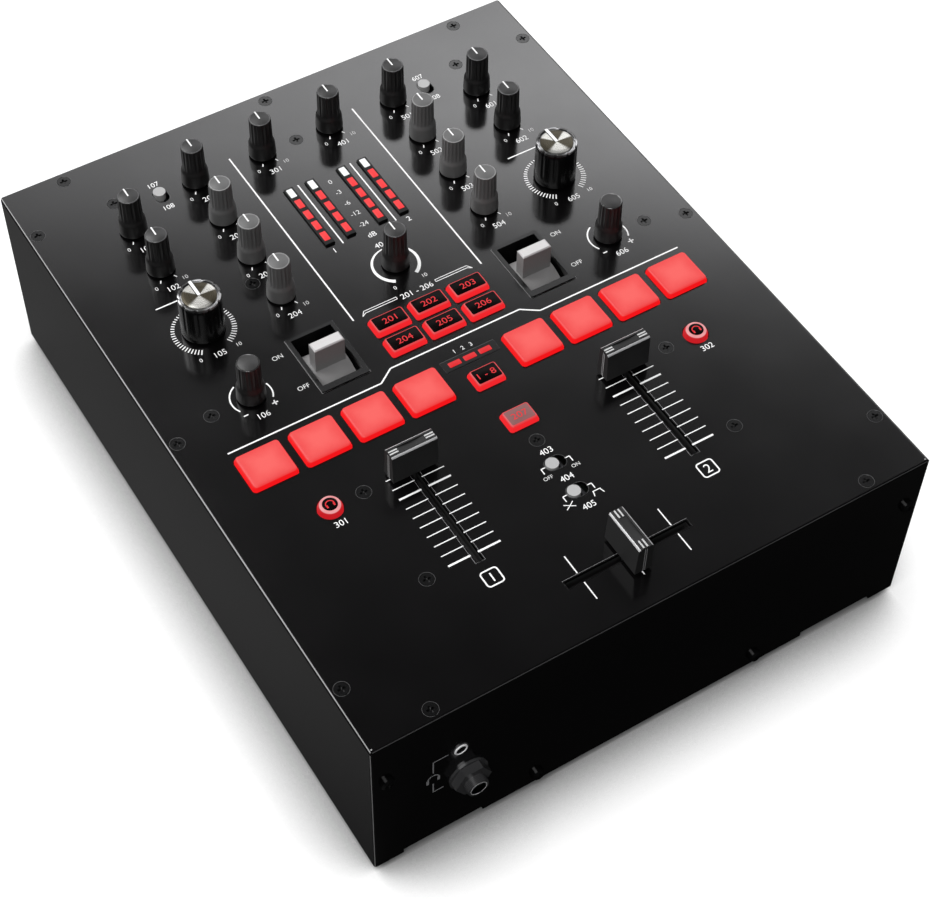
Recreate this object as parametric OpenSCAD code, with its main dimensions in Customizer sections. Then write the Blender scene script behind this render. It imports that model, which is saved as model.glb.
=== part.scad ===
// Two-channel DJ mixer. A bent sheet cover carries the knobs, pads, paddles and faders,
// and closes a sheet tray that holds the boards, the supply and the sockets.
// X runs across the panel, Y from the front wall to the rear, Z up from the table.

/* [Case] */
// Width of the case
body_w = 254; // [252:1:270]
// Depth of the case, front wall to rear
body_d = 318.5; // [318:0.5:334]
// Height of the case above its feet
body_h = 87.6; // [84:0.1:100]
// Thickness of the cover's sheet
sheet_t = 1.5; // [1.2:0.1:1.8]
// Outside radius of the cover's bends
bend_r = 1; // [0.8:0.1:1.5]
// Radius of the cover's rear corners in plan
rear_corner_r = 1.5; // [1:0.1:4]
// Thickness of the tray's sheet
tray_t = 1.2; // [1:0.1:1.5]
// Width of the tray's top flange
flange_w = 11; // [9.5:0.5:12]
// How far the rear wall is set in from the cover's rear edge
rear_inset = 0.5; // [0.2:0.1:1]
// Height of the notches in the front wall's lower edge
notch_h = 2.5; // [1:0.1:3]
// Width of each notch
notch_w = 36; // [20:1:40]
// Centre of each notch from the middle
notch_x = 96; // [90:1:100]

/* [Feet] */
// Height of the rubber feet
feet_h = 4; // [3:0.5:8]
// Radius of each foot
foot_r = 9; // [7:0.5:12]
// Distance of the feet from the case's sides
foot_inset_x = 29; // [20:1:40]
// Distance of the feet from the case's front and rear
foot_inset_y = 30; // [20:1:40]

/* [Screws] */
// Radius of a screw's head
screw_head_r = 2.95; // [2.7:0.05:3.2]
// Radius of a screw's shank
screw_r = 1.5; // [1.2:0.05:1.6]
// Depth of the countersunk head
screw_head_h = 1.4; // [1:0.1:1.4]
// Length of a panel screw
screw_l = 7; // [5:0.5:8]
// How far a round-headed screw stands out of the front wall
pan_head_h = 2.2; // [1.5:0.1:2.5]
// Width of the cross recess
recess_w = 0.9; // [0.6:0.1:1.1]
// Length of the cross recess
recess_l = 3.2; // [2.4:0.1:3.6]
// Depth of the cross recess
recess_depth = 0.9; // [0.5:0.1:1.1]
// Distance of the edge screws from the case's edges
edge_screw_inset = 4.9; // [4.5:0.1:5.5]
// Centre of the outer edge screws from the middle
edge_screw_x = 99; // [90:1:104]
// Centre of the rear and front side screws from the middle
edge_screw_y = 130.5; // [120:0.5:134]
// Height of the front wall's upper screws above the case's lower edge
front_screw_z = 62; // [50:1:66]
// Inset of the front wall's upper screws from its end
corner_screw_inset = 6.5; // [6:0.5:8]
// Height of the front wall's lower screws above the case's lower edge
low_screw_z = 6; // [6:0.5:9]
// Centre of the lower screws from the middle
low_screw_x = 53; // [46:1:60]

/* [Panel layout] */
// Columns of the screws that hold the control board, from the middle
spacer_x = [86.2, 104.2, 56.9, 71.2, 71.2, 0, 0];
// Rows of the screws that hold the control board, from the middle
spacer_y = [131.2, 5.6, 59.7, -58.1, -105.5, 125.5, -71.2];
// Width of case that the columns are set out for; a wider case spreads them
grid_w = 254; // [250:1:270]
// Depth of case that the rows are set out for; a deeper case spreads them
grid_d = 318.5; // [314:0.5:334]
// Outer knob columns from the middle
outer_col = 85.9; // [84:0.1:89]
// Channel columns from the middle
channel_col = 49.7; // [48:0.1:51]
// Inner knob columns from the middle
inner_col = 16.8; // [14:0.1:19]
// First knob row from the middle
first_row = 125.5; // [124:0.5:128]
// Pitch of the knob rows
row_pitch = 25.85; // [25.4:0.05:26.2]
// Row of the effect knob
fx_knob_y = 38.8; // [35:0.1:42]
// Row of the loop knobs
loop_row = 6.3; // [3:0.1:10]
// Middle of the level meters
meter_y = 81; // [78:0.5:83]
// Outer meters from the middle
meter_outer_x = 18.2; // [15:0.1:22]
// Inner meters from the middle
meter_inner_x = 7.8; // [6:0.1:8.5]

/* [Knobs] */
// Height of a small knob's top above the panel
knob_top = 20.9; // [17:0.1:24]
// Gap between a knob and the panel
knob_gap = 1; // [0.6:0.1:1.6]
// Radius of the skirt at its foot
skirt_r = 6.1; // [5.4:0.1:7]
// Radius of the skirt at its top
skirt_top_r = 5.75; // [5.3:0.05:6]
// Height of the skirt's top above the panel
skirt_h = 7.4; // [5:0.1:9]
// Height over which the skirt narrows to the grip
flare_h = 1.7; // [1:0.1:2.5]
// Radius of the grip at its foot
grip_r = 5.05; // [4.6:0.05:5.3]
// Number of flutes around the grip
flute_count = 18; // [12:1:24]
// Radius of each flute
flute_r = 0.5; // [0.3:0.05:0.6]
// Depth of each flute
flute_depth = 0.28; // [0.15:0.01:0.35]
// Width of the pointer groove
pointer_w = 1; // [0.6:0.1:1.4]
// Depth of the pointer groove
pointer_depth = 0.3; // [0.2:0.05:0.5]
// Chamfer around a knob's top
knob_chamfer = 0.5; // [0.3:0.1:0.8]
// Radius of a control's shaft
shaft_r = 3; // [2.5:0.1:3.2]
// Radial clearance of a shaft in its bush
shaft_fit = 0.05; // [0.03:0.01:0.08]
// Wall of a control's bush
bush_wall = 0.75; // [0.6:0.05:0.9]
// Radius of a filter knob at its foot
filter_r = 9.2; // [8:0.1:10]
// Radius of a filter knob's ring
filter_ring_r = 8.9; // [7.5:0.1:9]
// Radius of a filter knob's cap
filter_cap_r = 7.2; // [6:0.1:7.4]
// Number of scallops around the ring
scallop_count = 10; // [8:1:14]
// Depth of each scallop
scallop_depth = 0.45; // [0.2:0.05:0.6]

/* [Pads and buttons] */
// Height of a button above the panel
key_rise = 2.5; // [1.5:0.1:3]
// Travel of a button
key_travel = 0.8; // [0.5:0.1:1.2]
// Gap around a button in the panel
key_gap = 0.3; // [0.25:0.05:0.45]
// How far a button's flange reaches past its hole
key_lip = 0.5; // [0.4:0.05:0.6]
// Thickness of a button's flange
key_flange_t = 1.2; // [0.8:0.1:1.5]
// Width of a performance pad
pad_w = 20.1; // [18:0.1:20.6]
// Depth of a performance pad
pad_d = 18.4; // [16:0.1:19]
// Height of a pad above the panel
pad_rise = 2.3; // [1.5:0.1:3]
// Pitch of the pads
pad_pitch = 23.9; // [23.4:0.1:24.2]
// Innermost pads from the middle
pad_inner_x = 25.8; // [25:0.1:27]
// Row of the pads
pad_y = -27.8; // [-29:0.1:-27]
// Draft of a pad's sides from foot to top
pad_draft = 0.65; // [0.3:0.05:1]
// Corner radius of a pad
pad_corner_r = 1.5; // [1:0.1:2.5]
// Width of an effect button
fx_key_w = 16.5; // [14:0.1:16.8]
// Depth of an effect button
fx_key_d = 9.6; // [8:0.1:9.8]
// Pitch of the effect buttons' columns
fx_pitch_x = 18.8; // [18.6:0.1:19.2]
// Pitch of the effect buttons' rows
fx_pitch_y = 12.3; // [12.1:0.1:12.8]
// Middle of the effect buttons' rows
fx_mid_y = 5.35; // [4.5:0.05:6.5]
// Draft of a button's sides from foot to top
key_draft = 0.8; // [0.4:0.1:1.2]
// Corner radius of a button
key_corner_r = 1; // [0.6:0.1:1.6]
// Width of the pad mode and tap buttons
mode_key_w = 13.4; // [11:0.1:15]
// Depth of the pad mode and tap buttons
mode_key_d = 9.8; // [8:0.1:10.4]
// Row of the pad mode button
mode_key_y = -33.6; // [-35:0.1:-32.5]
// Row of the tap button
tap_key_y = -58.2; // [-60:0.1:-55]
// Radius of a cue button at its foot
cue_r = 5.2; // [4.5:0.1:6]
// Radius of a cue button at its top
cue_top_r = 4; // [3:0.1:4.4]
// Cue buttons from the middle
cue_x = 86; // [84:0.5:92]
// Row of the cue buttons
cue_y = -58; // [-62:0.5:-55]

/* [Level meters] */
// Width of a meter's bar
meter_w = 4.3; // [3.5:0.1:4.6]
// Length of a meter's bar
meter_l = 37.4; // [34:0.1:38]
// How far a meter stands above the panel
meter_rise = 1.2; // [0.5:0.1:1.8]
// Gap around a meter in the panel
meter_gap = 0.3; // [0.2:0.05:0.4]
// Width of the step display's window
window_w = 25.4; // [22:0.1:26]
// Depth of the step display's window
window_d = 5.6; // [4:0.1:6]
// Row of the step display
window_y = -20.8; // [-22:0.1:-19]
// Width of a step light
step_led_w = 5.7; // [4:0.1:6.2]
// Depth of a step light
step_led_d = 2.7; // [2:0.1:3.2]
// Pitch of the step lights
step_led_pitch = 7.2; // [7:0.1:7.6]

/* [Faders] */
// Travel of every fader
fader_travel = 45; // [40:1:48]
// Width of a fader's slot
slot_w = 3.2; // [2.8:0.1:4]
// Length of the slot past the lever at each end
slot_run_out = 3; // [1:0.5:3.5]
// Middle of the channel faders' travel
channel_fader_y = -80.5; // [-82:0.5:-80]
// Row of the crossfader
cross_y = -134.8; // [-136:0.1:-133.5]
// Width of a fader's cap across its travel
cap_w = 20.4; // [18:0.1:22]
// Height of a cap's top above the panel
cap_top = 16.7; // [13:0.1:20]
// Gap between a cap and the panel
cap_gap = 1.6; // [1:0.1:3]
// Depth of a channel fader's cap at its foot
cap_foot = 7.2; // [6:0.1:9]
// Depth of a channel fader's cap at its top
cap_crown = 5.8; // [5:0.1:6]
// Extra depth of the crossfader's cap
cross_cap_extra = 0.9; // [0:0.1:1.5]
// Chamfer along a cap's long edges
cap_chamfer = 1.3; // [0.8:0.1:1.6]
// Depth of the finger dish in a cap's top
dish_depth = 0.8; // [0.4:0.1:1.2]
// Thickness of a fader's lever
lever_t = 1.6; // [1.2:0.1:2]
// Length of a lever along its travel
lever_l = 5; // [4:0.1:5.5]
// Length of a fader's slider
slider_l = 10; // [8:0.5:12]
// Width of a fader's slider
slider_w = 7; // [6:0.1:8]
// Height of a fader's slider
slider_h = 7; // [5:0.1:8]
// Wall of a fader's body
fader_wall = 2; // [1.5:0.1:2.4]

/* [Paddles] */
// Width of a paddle's blade
blade_w = 13.7; // [11:0.1:15]
// Thickness of a paddle's blade
blade_t = 5.1; // [4:0.1:5.5]
// Height of a blade's top above the panel
blade_top = 9.8; // [7:0.1:12]
// Chamfer around a blade's top
blade_chamfer = 0.5; // [0.3:0.1:0.8]
// Radius of a paddle's curved shield
shield_r = 17.7; // [16:0.1:18]
// Half angle of a paddle's shield
shield_half_angle = 30; // [26:1:31]
// Depth of a paddle's pivot under the panel
pivot_depth = 20.3; // [19.5:0.1:22]
// Radius of a paddle's pivot pin
paddle_pin_r = 1.5; // [1.2:0.1:2]
// Radial clearance of the pivot pin
paddle_pin_fit = 0.05; // [0.03:0.01:0.08]
// Row of the paddles' pivots
paddle_y = 8.8; // [8:0.1:9.5]
// Width of a bezel's opening
bezel_open_w = 18.6; // [18.2:0.1:19.2]
// Depth of a bezel's opening
bezel_open_d = 27.1; // [26:0.1:28]
// Distance of the opening's middle behind the pivot
bezel_shift = 0.65; // [0.3:0.05:1]
// Wall of the paddle's tub
tub_wall = 1; // [0.8:0.1:1.2]
// Width of a bezel's rim at its sides and rear
bezel_rim = 1.7; // [1.6:0.1:2.2]
// Extra width of a bezel's rim at its front
bezel_front_rim = 1.2; // [0.6:0.1:1.6]
// Height of a bezel's rim above the panel
bezel_rise = 0.7; // [0.4:0.1:1.2]

/* [Slide switches] */
// Radius of a slide switch's cap
slide_cap_r = 2.75; // [2.2:0.05:2.9]
// Travel of a slide switch
slide_travel = 3; // [2.5:0.1:3.4]
// Gap around the cap in its slot
slide_gap = 0.35; // [0.3:0.05:0.5]
// Height of the cap above the panel
slide_rise = 0.9; // [0.5:0.1:1.5]
// Line switches from the middle
line_switch_x = 66.6; // [65.5:0.1:68]
// Row of the reverse switch
reverse_y = -84.3; // [-86:0.1:-82]
// Row of the slope switch
slope_y = -99.8; // [-102:0.1:-98]

/* [Headphone sockets] */
// Reach of a socket's bushing past the wall
jack_reach = 8; // [7:0.1:10]
// Radius of a large socket's bore
jack_bore_r = 3.25; // [3.2:0.01:3.35]
// Radius of a large socket's bushing
jack_bush_r = 4.5; // [4.2:0.1:5]
// Radius of a large socket's washer
jack_washer_r = 8.5; // [8:0.1:9]
// Radius of a large socket's nut across its corners
jack_nut_r = 8; // [6.5:0.1:8]
// Height of a large socket's nut
jack_nut_h = 3.5; // [2:0.1:5]
// Thickness of a socket's washer
washer_t = 1; // [0.6:0.1:1.5]
// Depth of a large socket behind the wall
jack_body_l = 24; // [20:0.5:28]
// Width of a large socket's body
jack_body_w = 15; // [13:0.1:16]
// Centre of the large headphone socket from the middle
phone_x = 85.5; // [80:0.5:92]
// Height of the large headphone socket above the case's lower edge
phone_z = 36.5; // [30:0.5:42]
// Radius of a small socket's bore
mini_bore_r = 1.8; // [1.78:0.01:1.85]
// Radius of a small socket's ring
mini_ring_r = 3.5; // [3:0.1:4]
// Depth of a small socket behind the wall
mini_body_l = 14; // [12:0.5:16]
// Centre of the small headphone socket from the middle
mini_x = 89; // [84:0.5:94]
// Height of the small headphone socket above the case's lower edge
mini_z = 57.4; // [54:0.1:62]

/* [Rear connectors] */
// Height of the connectors' lower row above the case's lower edge
rear_low_z = 28; // [26:0.5:30]
// Height of the connectors' upper row above the case's lower edge
rear_high_z = 54; // [52:0.5:58]
// Radius of a phono socket's barrel
phono_r = 4.15; // [4.1:0.01:4.2]
// Radius of a phono socket's bore
phono_bore_r = 1.65; // [1.6:0.01:1.7]
// Radius of a phono socket's collar
phono_collar_r = 6; // [5.5:0.1:7]
// Pitch of the phono sockets
phono_pitch = 18; // [16:0.5:18]
// Number of phono columns
phono_columns = 4; // [2:1:4]
// First phono column from the middle
phono_first_x = -50; // [-52:0.5:-49]
// Radius of a balanced socket's hole
xlr_r = 9.4; // [9:0.1:9.8]
// Width of a balanced socket's flange
xlr_flange_w = 26; // [25:0.5:27]
// Height of a balanced socket's flange
xlr_flange_h = 31; // [30:0.5:32]
// Depth of a balanced socket's cavity
xlr_depth = 15; // [13:0.5:18]
// First balanced socket from the middle
xlr_first_x = 38; // [36:1:40]
// Pitch of the balanced sockets
xlr_pitch = 30; // [28:0.5:32]
// Booth sockets from the middle
booth_x = -22; // [-26:0.5:-20]
// USB socket from the middle
usb_x = 66; // [62:1:68]
// Width of the USB socket
usb_w = 12; // [11.5:0.1:12.5]
// Height of the USB socket
usb_h = 10.9; // [10.5:0.1:11.5]
// Mains inlet and power switch from the middle
mains_x = 98; // [94:1:102]
// Width of the mains inlet's cavity
inlet_w = 24.4; // [24:0.1:25]
// Height of the mains inlet's cavity
inlet_h = 16.6; // [16:0.1:17]
// Depth of the mains inlet's cavity
inlet_depth = 16; // [14:0.5:18]
// Wall of the mains inlet
inlet_wall = 1.6; // [1.2:0.1:2]
// Width of the mains inlet's flange
inlet_flange = 3.2; // [2.6:0.1:4]
// Width of the power rocker
rocker_w = 11; // [9:0.1:13]
// Length of the power rocker
rocker_l = 17; // [15:0.1:19]
// Swing of the power rocker
rocker_swing = 14; // [10:1:16]
// Ground post from the middle
ground_x = -117; // [-118:1:-115]
// Radius of the ground post's thumb nut
ground_r = 4; // [3:0.1:4.5]

/* [Boards] */
// Thickness of a circuit board
board_t = 1.6; // [1:0.1:2]
// Depth of the control board under the panel's sheet
board_drop = 10; // [9.5:0.1:11]
// Gap between the control board and the tray's walls
board_margin = 13; // [12:0.5:16]
// Height of the main board above the tray's floor
main_board_lift = 8; // [5:0.5:10]
// Width of a control's body
pot_w = 9.5; // [9:0.1:10]
// Depth of a control's body
pot_d = 11; // [10:0.1:12]
// Height of a control's body
pot_h = 6.5; // [6:0.1:7]
// Width of a push switch
tact_w = 6; // [5:0.1:7]
// Height of a push switch with its plunger
tact_h = 5; // [4:0.1:5.2]

// Gap between a board's cutout and what passes it
board_gap = 1; // [0.8:0.1:1.5]
// Board in front of the last screw or switch
board_lip = 8; // [6:0.5:10]
// Inset of a spacer from the main board's corner
board_corner = 6; // [5:0.5:8]
// Width of the main board
main_board_w = 190; // [180:1:192]
// Depth of the main board
main_board_d = 176; // [170:1:178]
// Middle of the main board from the middle of the case
main_board_y = -26; // [-28:0.5:-25]
// Width of the power supply's base
supply_w = 48; // [46:1:50]
// Depth of the power supply's base
supply_d = 36; // [34:1:38]
// Height of the power supply's base
supply_base_h = 4; // [3:0.5:5]
// Shelf of the power supply's base beside its core
supply_shelf = 9; // [8.5:0.5:10]
// Shelf of the power supply's base before and behind its core
supply_lip = 3; // [2:0.5:4]
// Height of the power supply's core above its base
supply_core_h = 24; // [20:1:26]
// Middle of the power supply from the rear of the case
supply_rear = 66; // [64:1:67]
// Radius of a can on the power supply
supply_can_r = 3.5; // [3:0.1:3.6]
// Height of a can on the power supply
supply_can_h = 16; // [12:1:20]

/* [Hidden] */
$fn = 48;
cut = 1;
half_w = body_w / 2;
spread_x = body_w / grid_w;
spread_y = body_d / grid_d;
channel_x = channel_col * spread_x;
half_d = body_d / 2;
panel_z = feet_h + body_h;
under_z = panel_z - sheet_t;
board_top = under_z - board_drop;
board_z = board_top - board_t;
front_y = -half_d;
tray_half_w = half_w - sheet_t;
tray_front_y = front_y + sheet_t;
tray_rear_y = half_d - rear_inset;
tray_depth = tray_rear_y - tray_front_y;
tray_mid_y = (tray_rear_y + tray_front_y) / 2;
floor_z = feet_h + tray_t;
bush_r = shaft_r + shaft_fit + bush_wall;
bush_gap = 0.2;
shaft_floor = 1.5;
shaft_end_gap = 0.3;
screw_gap = 0.1;
spacer_r = 3;
run_gap = 0.3;
over_travel = 0.2;
slot_l = fader_travel + lever_l + 2 * slot_run_out;
fader_w = slider_w + 2 * (run_gap + fader_wall);
fader_l = fader_travel + slider_l + 2 * (run_gap + fader_wall);
fader_h = slider_h + 2 * (run_gap + fader_wall);
bezel_half_w = bezel_open_w / 2;
tub_half_w = bezel_half_w + tub_wall;
paddle_mid_y = paddle_y * spread_y;
tub_mid_y = paddle_mid_y + bezel_shift;
tub_under = 3;
tub_depth = pivot_depth + paddle_pin_r + tub_under;
pivot_z = panel_z - pivot_depth;
rocker_z = rear_high_z + 2;
rocker_pin_z = -2.5;
rocker_r = 1.2;
rocker_wall = 1.6;
rocker_cavity = 8;
slide_wall = 1.4;
slide_body_h = 6.5;
slide_stem_w = 2.4;
thread_gap = 0.05;
socket_overlap = 1;

small_knobs = spread(concat(
    [for (s = [1, 2], k = [[0.5, "tone_knob", "cue_mix_knob"], [1.5, "mic_knob", "cue_gain_knob"]])
        [k[s], side(s) * outer_col, first_row - k[0] * row_pitch]],
    [for (s = [1, 2], k = [[0, "gain"], [1, "treble"], [2, "mid"], [3, "bass"]])
        [str(k[1], "_knob_", s), side(s) * channel_col, first_row - k[0] * row_pitch]],
    [["booth_knob", -inner_col, first_row], ["master_knob", inner_col, first_row],
     ["fx_knob", 0, fx_knob_y]]
));
loop_knobs = spread([for (s = [1, 2]) [str("loop_knob_", s), side(s) * outer_col, loop_row]]);
filter_knobs = spread([for (s = [1, 2])
    [str("filter_knob_", s), side(s) * outer_col, first_row - 3 * row_pitch]]);
all_knobs = concat(small_knobs, loop_knobs, filter_knobs);

pads = spread([for (i = [1:8]) [str("pad_", i), pad_x(i), pad_y]]);
fx_keys = spread([for (i = [1:6])
    [str("fx_button_", i), ((i - 1) % 3 - 1) * fx_pitch_x, fx_mid_y + (i < 4 ? 0.5 : -0.5) * fx_pitch_y]]);
mode_keys = spread([["pad_mode_button", 0, mode_key_y], ["tap_button", 0, tap_key_y]]);
cue_keys = spread([for (s = [1, 2]) [str("cue_button_", s), side(s) * cue_x, cue_y]]);
all_keys = concat(pads, fx_keys, mode_keys, cue_keys);

// name, x, y, direction of travel, place of the cap within its travel
slide_switches = spread([
    ["line_switch_1", -line_switch_x, first_row, 90, 1],
    ["line_switch_2", line_switch_x, first_row, 90, 1],
    ["reverse_switch", 0, reverse_y, 0, -1],
    ["slope_switch", 0, slope_y, 0, -1]
]);

// name, x, y, turn of the travel from Y, place of the cap within its travel
faders = spread([
    ["channel_fader_1", -channel_col, channel_fader_y, 0, 1],
    ["channel_fader_2", channel_col, channel_fader_y, 0, 1],
    ["crossfader", 0, cross_y, -90, 0]
]);

edge_screws = concat(
    [for (x = [-1, 0, 1]) [x * edge_screw_x * spread_x, half_d - edge_screw_inset]],
    [for (x = [-1, 1]) [x * edge_screw_x * spread_x, -half_d + edge_screw_inset]],
    [for (x = [-1, 1], y = [-1, 0, 1]) [x * (half_w - edge_screw_inset), y * edge_screw_y * spread_y]]
);
spacer_screws = [for (i = [0:len(spacer_x) - 1], x = [-1, 1])
    if (spacer_x[i] > 0 || x > 0) [x * spacer_x[i] * spread_x, spacer_y[i] * spread_y]];

function side(s) = s == 1 ? -1 : 1;
// A list of name, x, y with its places spread over the case
function spread(list) = [for (k = list)
    concat([k[0], k[1] * spread_x, k[2] * spread_y], [for (i = [3:1:len(k) - 1]) k[i]])];
function pad_x(i) = (i < 5 ? i - 5 : i - 4) * pad_pitch + (i < 5 ? 1 : -1) * (pad_pitch - pad_inner_x);

// ---- shared shapes ----

// A rectangle with round corners, centred
module round_rect(w, d, r) {
    square([w - 2 * r, d], center = true);
    square([w, d - 2 * r], center = true);
    for (sx = [-1, 1], sy = [-1, 1])
        translate([sx * (w / 2 - r), sy * (d / 2 - r)])
            circle(r);
}

// A block whose four sides lean in by draft from foot to top
module drafted_block(w, d, h, draft, r) {
    intersection() {
        linear_extrude(h) round_rect(w, d, r);
        rotate([90, 0, 0])
            linear_extrude(d + cut, center = true)
                polygon([[-w / 2, 0], [w / 2, 0], [w / 2 - draft, h], [draft - w / 2, h]]);
        rotate([90, 0, 90])
            linear_extrude(w + cut, center = true)
                polygon([[-d / 2, 0], [d / 2, 0], [d / 2 - draft, h], [draft - d / 2, h]]);
    }
}

// A box centred in X and Y, standing on z = 0
module block(w, d, h) {
    translate([0, 0, h / 2]) cube([w, d, h], center = true);
}

// Children drawn against the front wall, Z pointing out of it
module on_front(x, z) {
    translate([x, front_y, feet_h + z]) rotate([90, 0, 0]) children();
}

// Children drawn against the rear wall, Z pointing out of it
module on_rear(x, z) {
    translate([x * spread_x, tray_rear_y, feet_h + z]) rotate([90, 0, 180]) children();
}

// An obround prism lying along X
module obround(l, r, h) {
    linear_extrude(h) {
        square([l - 2 * r, 2 * r], center = true);
        for (sx = [-1, 1])
            translate([sx * (l / 2 - r), 0]) circle(r);
    }
}

// ---- case ----

module case_block(inset, r, corner) {
    top = panel_z - inset;
    w = body_w - 2 * inset;
    intersection() {
        rotate([90, 0, 0])
            linear_extrude(body_d + cut, center = true) {
                translate([-w / 2, feet_h]) square([w, top - r - feet_h]);
                translate([-w / 2 + r, feet_h]) square([w - 2 * r, top - feet_h]);
                for (sx = [-1, 1])
                    translate([sx * (w / 2 - r), top - r]) circle(r);
            }
        rotate([90, 0, 90])
            linear_extrude(body_w + cut, center = true) {
                translate([front_y + inset, feet_h]) square([body_d, top - r - feet_h]);
                translate([front_y + inset + r, feet_h]) square([body_d - r, top - feet_h]);
                translate([front_y + inset + r, top - r]) circle(r);
            }
        translate([0, 0, feet_h])
            linear_extrude(body_h)
                plan_outline(inset, r, corner);
    }
}

module plan_outline(inset, front_r, rear_r) {
    w = body_w - 2 * inset;
    translate([-w / 2, front_y + inset + front_r])
        square([w, body_d - inset - front_r - rear_r]);
    translate([-w / 2 + front_r, front_y + inset])
        square([w - 2 * front_r, front_r]);
    translate([-w / 2 + rear_r, half_d - rear_r])
        square([w - 2 * rear_r, rear_r]);
    for (sx = [-1, 1]) {
        translate([sx * (w / 2 - front_r), front_y + inset + front_r]) circle(front_r);
        translate([sx * (w / 2 - rear_r), half_d - rear_r]) circle(rear_r);
    }
}

module panel_holes() {
    for (k = all_knobs)
        translate([k[1], k[2], under_z - cut])
            cylinder(h = sheet_t + 2 * cut, r = bush_r + bush_gap);
    for (k = pads)
        translate([k[1], k[2], under_z - cut])
            linear_extrude(sheet_t + 2 * cut)
                round_rect(pad_w + 2 * key_gap, pad_d + 2 * key_gap, pad_corner_r + key_gap);
    for (k = fx_keys)
        translate([k[1], k[2], under_z - cut])
            linear_extrude(sheet_t + 2 * cut)
                round_rect(fx_key_w + 2 * key_gap, fx_key_d + 2 * key_gap, key_corner_r + key_gap);
    for (k = mode_keys)
        translate([k[1], k[2], under_z - cut])
            linear_extrude(sheet_t + 2 * cut)
                round_rect(mode_key_w + 2 * key_gap, mode_key_d + 2 * key_gap, key_corner_r + key_gap);
    for (k = cue_keys)
        translate([k[1], k[2], under_z - cut])
            cylinder(h = sheet_t + 2 * cut, r = cue_r + key_gap);
    for (k = slide_switches)
        translate([k[1], k[2], under_z - cut])
            rotate([0, 0, k[3]])
                obround(slide_travel + 2 * (slide_cap_r + slide_gap), slide_cap_r + slide_gap,
                        sheet_t + 2 * cut);
    for (k = faders)
        translate([k[1], k[2], under_z - cut])
            rotate([0, 0, k[3] + 90])
                block(slot_l, slot_w, sheet_t + 2 * cut);
    for (s = [-1, 1])
        translate([s * channel_x, tub_mid_y, under_z - cut])
            block(bezel_open_w + 2 * (tub_wall + bush_gap), bezel_open_d + 2 * (tub_wall + bush_gap),
                  sheet_t + 2 * cut);
    for (x = [-meter_outer_x, -meter_inner_x, meter_inner_x, meter_outer_x])
        translate([x * spread_x, meter_y * spread_y, under_z - cut])
            block(meter_w + 2 * meter_gap, meter_l + 2 * meter_gap, sheet_t + 2 * cut);
    translate([0, window_y * spread_y, under_z - cut])
        block(window_w, window_d, sheet_t + 2 * cut);
    for (at = concat(edge_screws, spacer_screws))
        translate([at[0], at[1], 0]) countersink();
}

module countersink() {
    translate([0, 0, panel_z - screw_head_h])
        cylinder(h = screw_head_h, r1 = screw_r + screw_gap, r2 = screw_head_r + screw_gap);
    translate([0, 0, panel_z - cut / 100])
        cylinder(h = cut, r = screw_head_r + screw_gap);
    translate([0, 0, under_z - tray_t - cut])
        cylinder(h = sheet_t + tray_t + cut, r = screw_r + screw_gap);
}

module front_holes() {
    on_front(-phone_x * spread_x, phone_z)
        cylinder(h = 3 * (sheet_t + tray_t), r = jack_bush_r + screw_gap, center = true);
    on_front(-mini_x * spread_x, mini_z)
        cylinder(h = 3 * (sheet_t + tray_t), r = mini_ring_r + screw_gap, center = true);
    for (sx = [-1, 1]) {
        on_front(sx * (half_w - corner_screw_inset), front_screw_z)
            cylinder(h = 3 * (sheet_t + tray_t), r = screw_r + screw_gap, center = true);
        on_front(sx * low_screw_x * spread_x, low_screw_z)
            cylinder(h = 3 * (sheet_t + tray_t), r = screw_r + screw_gap, center = true);
    }
}

module top_cover() {
    color("#232325")
    difference() {
        case_block(0, bend_r, rear_corner_r);
        translate([-tray_half_w, tray_front_y, feet_h - cut])
            cube([2 * tray_half_w, body_d, body_h - sheet_t + cut]);
        panel_holes();
        front_holes();
        for (sx = [-1, 1])
            translate([sx * notch_x * spread_x, front_y, feet_h - cut])
                block(notch_w, 2 * sheet_t, notch_h + cut);
    }
}

module base_tray() {
    inner_w = 2 * (tray_half_w - tray_t);
    color("#1c1c1e")
    difference() {
        translate([0, tray_mid_y, feet_h])
            block(2 * tray_half_w, tray_depth, under_z - feet_h);
        translate([0, tray_mid_y, floor_z])
            block(inner_w, tray_depth - 2 * tray_t, under_z - floor_z - tray_t);
        translate([0, tray_mid_y, under_z - tray_t - cut])
            block(2 * (tray_half_w - flange_w), tray_depth - 2 * flange_w, tray_t + 2 * cut);
        // room for the pads' lips where the outer columns come near the flange
        for (k = pads)
            translate([k[1], k[2], under_z - tray_t - cut])
                block(pad_w + 2 * (key_gap + key_lip + screw_gap),
                      pad_d + 2 * (key_gap + key_lip + screw_gap), tray_t + 2 * cut);
        for (at = edge_screws)
            translate([at[0], at[1], 0]) countersink();
        front_holes();
        rear_holes();
    }
}

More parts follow.
